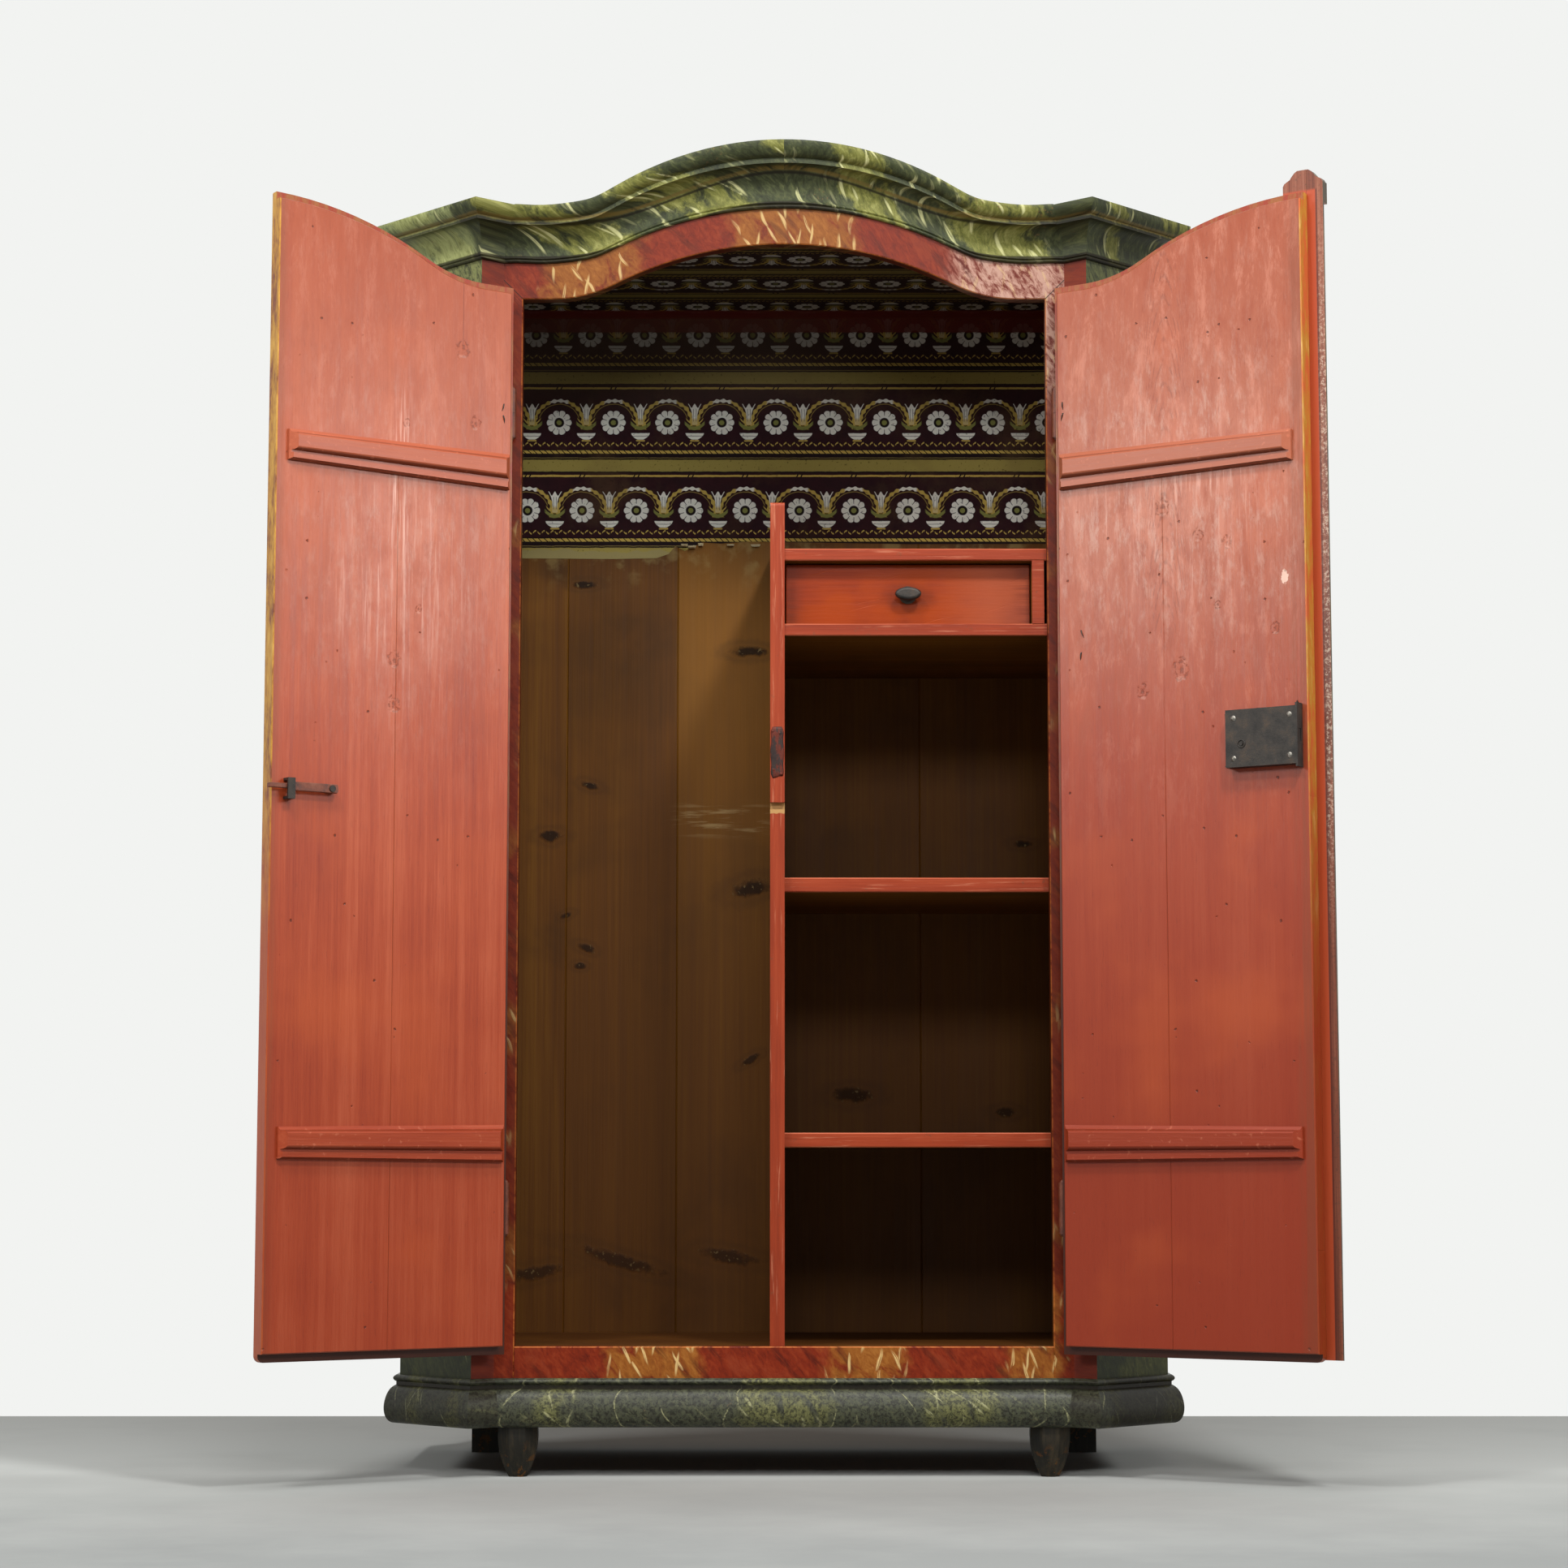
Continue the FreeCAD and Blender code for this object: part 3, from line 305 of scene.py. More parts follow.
# marbling: a mottled ground, zones of a second paint, brush strokes of a third
greenMarble = {
    "ground": [(0.32, tone(22, 25, 16)), (0.5, tone(56, 61, 37)), (0.68, tone(98, 102, 62))],
    "zone": [(0.32, tone(62, 66, 30)), (0.5, tone(114, 114, 52)), (0.7, tone(168, 166, 98))],
    "cover": 0.8,
    "slate": tone(47, 53, 42), "stroke": tone(212, 210, 152), "dirtAndShade": tone(26, 20, 12),
    "wear": tone(112, 84, 50), "fillet": tone(116, 98, 48), "grit": tone(24, 23, 18),
    "grey": tone(80, 79, 70), "lit": tone(168, 176, 118), "gloom": tone(36, 36, 27),
    "postLitTop": tone(144, 148, 92),
}
redMarble = {
    "ground": [(0.3, tone(78, 18, 6)), (0.5, tone(122, 38, 13)), (0.7, tone(148, 60, 26))],
    "zone": [(0.3, tone(108, 54, 17)), (0.5, tone(142, 84, 29)), (0.72, tone(176, 118, 52))],
    "cover": 0.92,
    "slate": tone(126, 50, 28), "stroke": tone(232, 200, 134), "dirtAndShade": tone(52, 16, 7),
    "wear": tone(190, 108, 48), "pale": tone(214, 176, 156),
}
zonePlaces = {  # middle and half width of each zone, counted along the front
    "cornice": [(-0.93, 0.06), (-0.74, 0.05), (-0.5, 0.06), (-0.265, 0.05), (-0.085, 0.045),
                (0.145, 0.04), (0.325, 0.055), (0.5, 0.02), (0.7, 0.05), (0.9, 0.06)],
    "base": [(-0.8, 0.06), (-0.57, 0.02), (-0.44, 0.014), (-0.31, 0.022), (0.0, 0.045),
             (0.23, 0.05), (0.445, 0.014), (0.62, 0.03), (0.85, 0.05)],
    "arch": [(-0.281, 0.07), (0.015, 0.09)],
    "rail": [(-0.184, 0.065), (0.115, 0.054), (0.353, 0.035)],
}
strokes = {  # brush strokes: lean, cell, half size, share of the cells that have one, bend
    "corniceTop": (-0.4, (0.034, 0.05), (0.0036, 0.02), 0.42, 0.01),
    "corniceCove": (-0.62, (0.03, 0.06), (0.0036, 0.026), 0.42, 0.012),
    "inZones": (-0.78, (0.013, 0.04), (0.0024, 0.016), 0.36, 0.012),
    "baseRising": (0.5, (0.045, 0.06), (0.002, 0.026), 0.42, 0.05),
    "baseFalling": (-0.35, (0.05, 0.05), (0.0016, 0.022), 0.4, 0.05),
    "post": (-0.5, (0.05, 0.12), (0.0016, 0.03), 0.16, 0.03),
    "frameDrag": (-0.75, (0.03, 0.08), (0.006, 0.034), 0.55, 0.01),
    "frameUpright": (0.12, (0.02, 0.04), (0.003, 0.02), 0.5, 0.02),
    "frameLeaning": (-0.5, (0.022, 0.04), (0.0026, 0.019), 0.5, 0.02),
    "side": (-0.5, (0.06, 0.14), (0.0024, 0.05), 0.45, 0.04),
    "scratch": (1.3, (0.03, 0.09), (0.0007, 0.03), 0.3, 0.02),
    "doorOuter": (-0.4, (0.05, 0.1), (0.002, 0.036), 0.5, 0.04),
}


def marbled(fin, way, rise, tones, zone):
    flat = fin.turn(fin.join(way, rise, 0.0), -0.6)
    mottle = fin.streaks(flat, (150.0, 62.0, 1.0), 5.0, 0.72, 0.6)
    patch = fin.streaks(flat, (44.0, 19.0, 1.0), 4.0, 0.65, 0.8)
    share = mottle * 0.6 + patch * 0.4
    colour = fin.ramp(share, tones["ground"])
    colour = fin.mix(fin.soft(patch, 0.52, 0.66) * 0.4, colour, tones["slate"])
    second = fin.ramp(share, tones["zone"])
    ragged = zone * fin.soft(patch, 0.3, 0.5)
    colour = fin.mix(ragged * tones["cover"], colour, second)
    return colour, share


def wayAlong(fin):  # distance along the mouldings from the middle, and height above the arch
    x, y, z = fin.split(fin.place)
    far = abs(x)
    way = fin.calc("SIGN", x) * (far + y)
    near = fin.calc("MINIMUM", far, arch["run"])
    swing = fin.calc("COSINE", near * (math.pi / arch["run"]))
    lift = (swing + 1.0) * fin.soft(z, 1.4, 1.5) * arch["halfRise"]
    return way, z - lift


def mouldingFinish():
    fin = Finish("greenMarbledMoulding", 0.22, greenMarble)
    way, rise = wayAlong(fin)
    slant = way + rise * 1.2 - 2.116
    slant = slant + (fin.noise(fin.place, 30.0, 4.0, 0.7) - 0.5) * 0.085
    low = way + (fin.noise(fin.place, 40.0, 3.0) - 0.5) * 0.06
    upper = fin.soft(rise, 1.0, 1.1)
    zone = fin.spans(slant, zonePlaces["cornice"], 0.008) * upper
    lower = fin.spans(low, zonePlaces["base"], 0.014) * fin.soft(rise, 1.1, 1.0)
    zone = fin.most(zone, lower)
    fin.colour, share = marbled(fin, way, rise, greenMarble, zone)
    top = fin.soft(rise, 1.8, 1.806)
    cove = upper * fin.soft(rise, 1.803, 1.798)
    lines = fin.dashes(way, rise, *strokes["corniceTop"]) * top
    leans = fin.dashes(way, rise, *strokes["corniceCove"])
    lines = fin.most(lines, leans * cove)
    fine = fin.dashes(way, rise, *strokes["inZones"])
    lines = fin.most(lines, fine * fin.most(zone, 0.25))
    loops = fin.dashes(way, rise, *strokes["baseRising"])
    loops = fin.most(loops, fin.dashes(way, rise, *strokes["baseFalling"]))
    below = fin.soft(rise, 0.4, 0.3)
    lines = fin.most(lines, loops * below)
    fin.lay(lines * 0.66, "stroke")
    specks = fin.soft(fin.noise(fin.place, 210.0, 3.0, 0.7), 0.58, 0.68)
    edge = fin.spans(rise, [(0.125, 0.004), (1.804, 0.003)], 0.002)
    patch = fin.soft(fin.noise(fin.place, 11.0, 3.0), 0.56, 0.66)
    rubbed = specks * fin.most(fin.soft(rise, 0.09, 0.072), edge, patch)
    fin.lay(rubbed * 0.7, "wear")
    grit = fin.soft(fin.noise(fin.place, 190.0, 5.0, 0.75, 0.5), 0.46, 0.58)
    fin.lay(below * 0.42, "grey")
    fin.lay(grit * below * 0.78, "grit")
    facing = abs(fin.split(fin.normal)[0])
    lit = fin.soft(way, -0.42, -0.44) * upper * fin.soft(share, 0.3, 0.6)
    fin.lay(lit * 0.62, "lit")
    # painted shade: the base's faces turned to the sides darker
    turnedShade = (fin.soft(facing, 0.35, 0.55) + 0.1) * below
    fin.lay(turnedShade * 0.4, "dirtAndShade")
    # painted shade: the right-hand mouldings darker, the base more
    rightShade = fin.soft(way, 0.42, 0.44) * (0.26 + below * 0.34)
    fin.lay(rightShade, "dirtAndShade")
    fillet = fin.spans(rise, [(1.8035, 0.0022)], 0.0012) * fin.soft(share, 0.36, 0.52)
    fin.lay(fillet * 0.8, "fillet")
    # grooves and beads darker: dirt, with painted shade under the fillet
    dirtAndShade = fin.spans(rise, [(1.753, 0.0055), (1.7985, 0.0016), (0.1255, 0.003)], 0.0012)
    fin.lay(dirtAndShade * 0.85, "dirtAndShade")
    rough = 0.34 + share * 0.3 + rubbed * 0.15 - below * 0.12
    height = share * 0.6 + lines * 0.4
    return fin.done(rough, height, 0.0008)


def postFinish():
    fin = Finish("greenMarbledPost", 0.25, greenMarble)
    x, y, z = fin.split(fin.place)
    way, _ = wayAlong(fin)
    faint = fin.soft(fin.noise(fin.place, 9.0, 2.0), 0.52, 0.64) * 0.35
    fin.colour, share = marbled(fin, way, z, greenMarble, faint)
    fin.lay(0.45, "gloom")
    # painted light: the posts lighter near the top, the left post more
    light = 0.25 + fin.soft(x, 0.01, -0.01) * 0.5
    light = fin.soft(z, 1.56, 1.66) * light
    fin.lay(light * fin.soft(share, 0.38, 0.58), "postLitTop")
    marks = fin.dashes(way, z, *strokes["post"])
    fin.lay(marks * 0.4, "stroke")
    # the inward faces take the red marbling, darkened as painted shade
    red, _ = marbled(fin, way, z, redMarble, faint)
    red = fin.mix(0.35, red, redMarble["dirtAndShade"])
    nx = fin.split(fin.normal)[0]
    inward = fin.soft(fin.calc("SIGN", x) * nx, -0.2, -0.4)
    fin.lay(inward, red)
    wide = abs(x) - y
    outside = fin.most(fin.soft(wide, 0.452, 0.455), fin.soft(y, 0.011, 0.008))
    wood, _ = pineColour(fin, fin.place, 2)
    fin.colour = fin.mix(outside, wood, fin.colour)
    return fin.done(0.4 + share * 0.26, share, 0.0008)


def frameFinish():
    fin = Finish("redMarbledFrame", 0.17, redMarble)
    x, y, z = fin.split(fin.place)
    way, rise = wayAlong(fin)
    moved = x + (fin.noise(fin.place, 28.0, 3.0) - 0.5) * 0.07
    top, low = fin.soft(z, 1.5, 1.6), fin.soft(z, 0.3, 0.25)
    zone = fin.spans(moved, zonePlaces["arch"], 0.014) * top
    zone = fin.most(zone, fin.spans(moved, zonePlaces["rail"], 0.014) * low)
    upright = fin.soft(fin.noise(fin.place, 8.0, 2.0), 0.5, 0.6) * 0.7
    between = 1.0 - top - low
    zone = fin.most(zone, upright * between)
    fin.colour, share = marbled(fin, way, rise, redMarble, zone)
    drag = fin.dashes(way, rise, *strokes["frameDrag"])
    fin.lay(drag * 0.45, "dirtAndShade")
    # pale pink zone on the arch's right: partly paint, partly painted glare
    pale = fin.within(moved, 0.25, 0.42, 0.03) * top * fin.soft(share, 0.4, 0.58)
    fin.lay(pale * 0.72, "pale")
    lines = fin.dashes(way, rise, *strokes["frameUpright"])
    lines = fin.most(lines, fin.dashes(way, rise, *strokes["frameLeaning"]))
    lines = lines * fin.most(zone, pale * 0.6)
    fin.lay(lines * 0.72, "stroke")
    ny = fin.split(fin.normal)[1]
    bevel = fin.soft(ny, -0.45, -0.55) * fin.soft(ny, -0.9, -0.82)
    fin.lay(bevel * fin.soft(share, 0.4, 0.55) * 0.8, "wear")
    # painted shade: the inner edges of the opening darker
    inside = fin.soft(y, 0.001, 0.004)
    fin.lay(inside * 0.55, "dirtAndShade")
    # painted shade: the stiles darker beside the doors, the arch darker under the cornice
    fin.lay(between * 0.45, "dirtAndShade")
    fin.lay(top * 0.28, "dirtAndShade")
    far = abs(x) - arch["openHalf"]
    corner = z - arch["spring"] - far
    mitre = fin.within(corner, -0.001, 0.001, 0.0006) * fin.soft(far, 0.0, 0.001)
    fin.lay(mitre * 0.85, greenMarble["dirtAndShade"])
    wood, _ = pineColour(fin, fin.place, 2)
    fin.lay(fin.soft(y, 0.0212, 0.0216), wood)
    return fin.done(0.28 + share * 0.26, share + lines, 0.0006)


def sideFinish():
    fin = Finish("plainSidePaint", 0.25, greenMarble)
    x, _, z = fin.split(fin.place)
    outside = fin.soft(abs(x), 0.54, 0.545)
    wood, height = pineColour(fin, fin.place, 2)
    way, _ = wayAlong(fin)
    zone = fin.soft(fin.noise(fin.place, 6.0, 3.0, 0.6, 0.8), 0.5, 0.6)
    fin.colour, share = marbled(fin, way, z, greenMarble, zone * 0.6)
    marks = fin.dashes(way, z, *strokes["side"])
    marks = marks * zone
    fin.lay(marks * 0.6, "stroke")
    brush = fin.streaks(fin.place, (110.0, 110.0, 3.0), 3.0, 0.7)
    worn = fin.soft(brush, 0.6, 0.72) * fin.soft(share, 0.5, 0.6)
    fin.lay(worn * 0.6, pineTones["body"])
    fin.colour = fin.mix(outside, wood, fin.colour)
    return fin.done(0.42 + share * 0.25, height + share, 0.001)


# upright boards at the back: knots as across, height, size, stretch and lean, and the joints
backKnots = [
    (-0.316, 1.351, 0.01, 2.2, 0.0), (-0.053, 1.244, 0.014, 2.4, 0.0),
    (-0.305, 1.031, 0.01, 1.8, 0.2), (-0.367, 0.951, 0.014, 1.6, 0.0),
    (-0.052, 0.868, 0.021, 1.8, -0.2), (-0.342, 0.826, 0.008, 1.6, -0.3),
    (-0.31, 0.775, 0.01, 1.6, 0.3), (-0.319, 0.747, 0.008, 1.4, 0.0),
    (-0.052, 0.601, 0.01, 1.7, -0.5), (-0.385, 0.271, 0.017, 2.6, -0.15),
    (-0.253, 0.29, 0.017, 4.4, 0.3), (-0.083, 0.296, 0.017, 3.2, 0.15),
    (0.106, 0.545, 0.018, 2.0, 0.0), (0.346, 0.519, 0.012, 1.8, 0.0),
    (0.375, 0.938, 0.01, 1.8, 0.0),
]
backJoints = [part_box("back_board_%d" % n)[1].x - middle for n in (1, 2, 3)]


def backFinish():
    fin = Finish("bareBackBoards", 0.2, pineTones)
    x, _, z = fin.split(fin.place)
    number = sum(fin.soft(x, at - 0.0004, at + 0.0004) for at in backJoints)
    shifted = fin.vector("ADD", fin.place, fin.join(0.0, 0.0, number * 3.7))
    grain, _ = pineColour(fin, shifted, 2)
    fin.colour, height = pineColour(fin, fin.place, 2)
    fin.lay(0.5, grain)
    inside = fin.soft(fin.split(fin.normal)[1], -0.3, -0.5)
    # golden tone on the boards by the partition, brighter higher up: board tone and painted light
    litGolden = fin.soft(x, backJoints[1], backJoints[1] + 0.001)
    litGolden = litGolden * fin.soft(x, 0.0, -0.01) * inside
    fin.lay(litGolden * fin.soft(z, 0.6, 1.3) * 0.4, "litGolden")
    height = knotted(fin, height)
    seam = fin.spans(x, [(at, 0.0012) for at in backJoints], 0.0006)
    fin.lay(seam * 0.3, "pale")
    # painted shade: darker towards the bottom
    fin.lay(fin.soft(z, 1.2, 0.3) * 0.4, "deep")
    # a pale streaked band across the back at about one metre high
    paleBand = fin.within(x, -0.165, -0.03, 0.02) * fin.within(z, 0.955, 0.998, 0.012)
    paleBand = paleBand * fin.soft(fin.streaks(fin.place, (14.0, 14.0, 120.0)), 0.5, 0.68)
    fin.lay(paleBand * inside * 0.5, "paleBand")
    glue = fin.soft(z, 1.33, 1.41) * fin.soft(fin.noise(fin.place, 26.0, 4.0), 0.5, 0.66)
    fin.lay(glue * inside * 0.4, "glue")
    outside = 1.0 - inside
    dusty = outside * (0.45 + height * 0.3)
    fin.lay(dusty, "dust")
    return fin.done(0.44 + height * 0.3, height, 0.0013)


def bareFinish(name, along, age=0.0, veil="dust"):
    fin = Finish(name, 0.15, pineTones)
    fin.colour, height = pineColour(fin, fin.place, along)
    if age:
        aged = (fin.noise(fin.place, 7.0, 4.0) + 0.5) * age
        fin.lay(aged, veil)
    return fin.done(0.55 + height * 0.25, height, 0.0014)


# boards inside: bare on their faces, red paint on the front edge
edgeDepth = {"upright": 0.0215, "shelf": 0.0345, "case": 0.0205}


def edgedFinish(name, along, depth, notched=False):
    fin = Finish(name, 0.22, innerTones)
    _, y, z = fin.split(fin.place)
    wood, height = pineColour(fin, fin.place, along)
    fin.colour, relief, hairs, _ = redPaint(fin, fin.place, along, innerTones)
    ragged = (fin.noise(fin.place, 60.0) - 0.5) * 0.006
    here = fin.soft(y + ragged, depth, depth - 0.0015)
    chips = fin.soft(fin.noise(fin.place, 85.0, 4.0, 0.7), 0.64, 0.68)
    fin.lay(chips * 0.6, doorTones["brown"])
    ny = fin.split(fin.normal)[1]
    rub = [9.0, 200.0, 200.0]
    rub[0], rub[along] = rub[along], rub[0]
    rub = fin.soft(fin.streaks(fin.place, rub, 4.0, 0.7), 0.56, 0.68)
    fin.lay(rub * 0.4, "rub")
    bevel = fin.soft(ny, -0.4, -0.5) * fin.soft(ny, -0.92, -0.85)
    fin.lay(bevel * fin.soft(hairs, 0.35, 0.55) * 0.6, "arris")
    if notched:  # fresh wood in the latch notch, paint knocked off under it
        jag = (fin.noise(fin.place, 90.0, 3.0) - 0.5) * 0.012
        fresh = pineTones["fresh"]
        fin.lay(fin.within(z + jag, 0.9405, 0.948, 0.001), fresh)
        deep = fin.soft(y, 0.034, 0.032)
        wood = fin.mix(fin.within(z, 0.946, 0.958, 0.0006) * deep, wood, fresh)
    fin.colour = fin.mix(here, wood, fin.colour)
    return fin.done(0.36 + hairs * 0.26, height + relief, 0.0008)


def drawerFinish():
    fin = Finish("redDrawerFront", 0.09, innerTones)
    fin.colour, height, hairs, _ = redPaint(fin, fin.place, 0, innerTones)
    x, y, z = fin.split(fin.place)
    warm = fin.soft(fin.noise(fin.place, 9.0, 3.0), 0.4, 0.65)
    fin.lay(warm * 0.8, "warm")
    # lighter towards the right end, darker at both ends
    fin.lay(fin.soft(x, 0.2, 0.32) * 0.14, doorTones["hazeAndSheen"])
    ends = fin.most(fin.soft(x, 0.035, 0.008), fin.soft(x, 0.325, 0.352))
    fin.lay(ends * fin.soft(hairs, 0.3, 0.6) * 0.6, "darkEnds")
    reach = fin.spot(fin.place, 0.181, 1.262, 0.05, 0.03)
    grime = fin.soft(reach + fin.noise(fin.place, 40.0) * 0.5, 1.3, 0.4)
    fin.lay(grime * 0.6, doorTones["dentAndShade"])
    scratch = fin.dashes(x, z, *strokes["scratch"])
    fin.lay(scratch * 0.35, doorTones["light"])
    wood, _ = pineColour(fin, fin.place, 0)
    fin.lay(fin.soft(y, 0.0455, 0.047), wood)
    return fin.done(0.27 + hairs * 0.2, height - scratch * 0.4, 0.0007)


# each door: its hinge and side, how worn its paint is, its painted shade and sheen, and marks as across
# from the hinge and height
doors = {
    "left": {
        "joint": "left_door_hinge", "side": -1.0, "seam": 0.2,
        "shade": 0.0, "faded": 0.26, "mottle": 0.5, "top": 0.58,
        "dents": ((62.0, 0.09), (30.0, 0.06)), "crack": (0.0975, 1.606, 1.715),
        "knots": [(0.096, 1.6, 0.008), (0.074, 1.494, 0.006), (0.201, 1.141, 0.007),
                  (0.163, 1.217, 0.004), (0.2, 1.078, 0.007), (0.185, 1.481, 0.004)],
        "chalkAndSheen": (0.195, 1.27, 0.16, 0.28), "glint": (0.192, 1.38, 0.028, 0.2),
        "figure": [], "chip": None,
        "edge": [(0.35, "brown"), (0.5, "ochre"), (0.7, "honey")],  # free edge, from least to most worn
        "sound": (1.02, 0.7, "body"),  # and where its paint is whole again, lower down
    },
    "right": {
        "joint": "right_door_hinge", "side": 1.0, "seam": 0.184,
        "shade": 0.56, "faded": 0.5, "mottle": 1.0, "top": 0.7,
        "dents": ((62.0, 0.14), (30.0, 0.12)), "crack": None,
        "knots": [(0.208, 1.127, 0.009), (0.148, 1.101, 0.007), (0.237, 1.316, 0.006),
                  (0.282, 1.302, 0.006), (0.266, 1.214, 0.004), (0.182, 1.361, 0.008),
                  (0.353, 1.174, 0.005)],
        "chalkAndSheen": (0.2, 1.37, 0.22, 0.2), "glint": (0.25, 1.398, 0.1, 0.03),
        "figure": [(0.188, 1.6, 0.05, 0.19), (0.185, 1.3, 0.055, 0.17)],
        "chip": (0.3685, 1.2447, 0.006, 0.011),
        "edge": [(0.4, "orange"), (0.56, "ochre"), (0.7, "straw")], "sound": (1.1, 0.6, "deep"),
    },
}


def doorTurn(door):  # angle that swings the open door's points back to shut
    joint = joints[doors[door]["joint"]]
    return math.radians(joint["range_deg"][0]) * joint["axis"][2]


def doorHinge(door):
    return Vector(joints[doors[door]["joint"]]["pos_m"]) - Vector((middle, front, 0))


def boardMarks(fin, look, flat, boards, hairs, height):  # patina, painted sheen, dents, knots with painted highlights and cracks of a door
    across, _, z = fin.split(flat)
    # painted sheen on the door: a hazy patch, rubbed streaks and a narrow glint, partly chalky wax
    spread = fin.spot(flat, *look["chalkAndSheen"])
    hazeAndSheen = fin.soft(fin.noise(flat, 16.0, 4.0, 0.65), 0.3, 0.7)
    hazeAndSheen = fin.soft(spread, 1.15, 0.1) * hazeAndSheen
    fin.lay(hazeAndSheen * 0.3, "hazeAndSheen")
    rub = fin.streaks(flat, (120.0, 1.0, 4.5), 5.0, 0.66)
    rub = fin.soft(rub, 0.52, 0.68) * fin.soft(spread, 1.0, 0.2)
    fin.lay(rub * 0.45, "chalkAndSheen")
    glint = fin.soft(fin.spot(flat, *look["glint"]), 1.0, 0.3)
    glint = glint * fin.soft(fin.streaks(flat, (210.0, 1.0, 7.0), 3.0), 0.5, 0.64)
    fin.lay(glint * 0.6, "chalkAndSheen")
    patchy = fin.streaks(flat, (30.0, 1.0, 9.0), 8.0, 0.76, 0.3)
    strength = fin.soft(z, 0.75, 1.35) * look["mottle"]
    fin.lay(fin.soft(patchy, 0.5, 0.64) * strength * 0.34, "hazeAndSheen")
    fin.lay(fin.soft(patchy, 0.5, 0.36) * strength * 0.75, "brickAndShade")
    # pale blotches, strongest about the sheen patch: partly chalky paint, partly painted sheen
    blotchAndSheen = fin.soft(fin.streaks(flat, (62.0, 1.0, 19.0), 8.0, 0.76, 0.15), 0.47, 0.66)
    blotchAndSheen = blotchAndSheen * (fin.soft(spread, 1.5, 0.4) + 0.25) * strength
    fin.lay(blotchAndSheen * 0.42, "blotchAndSheen")
    pores = fin.soft(fin.streaks(flat, (620.0, 1.0, 46.0), 2.0, 0.6), 0.6, 0.7)
    fin.lay(pores * 0.22, "dentAndShade")
    if look["chip"]:
        jag = (fin.noise(flat, 160.0, 3.0) - 0.5) * 1.6
        chip = fin.soft(fin.spot(flat, *look["chip"]) + jag, 1.0, 0.8)
        fin.lay(chip * 0.85, "chip")
    for oval in look["figure"]:  # arched grain showing through the paint
        off = across - oval[0]
        arcs = z + off * off * 150.0 + hairs * 0.02
        arcs = fin.soft(fin.calc("SINE", arcs * 200.0), 0.5, 0.95)
        arcs = arcs * fin.soft(fin.spot(flat, *oval), 1.0, 0.5)
        arcs = arcs * fin.soft(fin.noise(flat, 60.0, 3.0), 0.4, 0.6)
        fin.lay(arcs * 0.34, "dentAndShade")
    warm = fin.soft(fin.noise(flat, 4.0, 3.0), 0.5, 0.7) * 0.35
    fin.lay(warm, "warm")
    dents = 0.0
    nick = fin.noise(flat, 420.0, 2.0) - 0.5
    for scale, share in look["dents"]:
        marks = fin.add("TexVoronoi", {"Vector": flat, "Scale": scale})
        pick = fin.split(marks.outputs["Color"])[0]
        gone = marks.outputs["Distance"] + nick * (0.004 * scale)
        hit = fin.soft(gone, 0.0024 * scale, 0.001 * scale)
        dents = fin.most(hit * fin.soft(pick, 1 - share, 1.01 - share), dents)
    fin.lay(dents * 0.85, "dentAndShade")
    dark, lit = 0.0, 0.0
    stir = (fin.noise(flat, 120.0, 3.0, 0.65) - 0.5) * 2.2
    gaps = fin.soft(fin.noise(flat, 150.0, 2.0), 0.42, 0.56)
    for u, level, size in look["knots"]:
        reach = fin.spot(flat, u, level, size, size * 1.3) + stir
        ring = fin.within(reach, 0.9, 1.3, 0.25) * gaps
        dark = fin.most(dark, ring * 0.7, fin.soft(reach, 0.5, 0.1) * 0.7)
        # a painted highlight under each knot
        under = fin.spot(flat, u, level - size * 1.4, size, size * 0.5) + stir
        lit = fin.most(lit, fin.soft(under, 0.9, 0.4))
    fin.lay(dark * 0.8, "dentAndShade")
    fin.lay(lit * 0.2, "chalkAndSheen")
    if look["crack"]:
        at, low, high = look["crack"]
        gap = abs(across - at + fin.noise(flat, 25.0) * 0.003)
        gap = fin.soft(gap, 0.0009, 0.0003) * fin.within(z, low, high, 0.008)
        fin.lay(gap * 0.5, "dentAndShade")
    line = across - look["seam"] + boards * 0.004
    seam = fin.soft(abs(line), 0.0011, 0.0002)
    seam = seam * fin.soft(hairs, 0.3, 0.55) * fin.soft(z, 1.5, 1.3)
    fin.lay(seam * 0.3, "dentAndShade")
    return height - dents * 1.5 - dark * 0.6 - seam


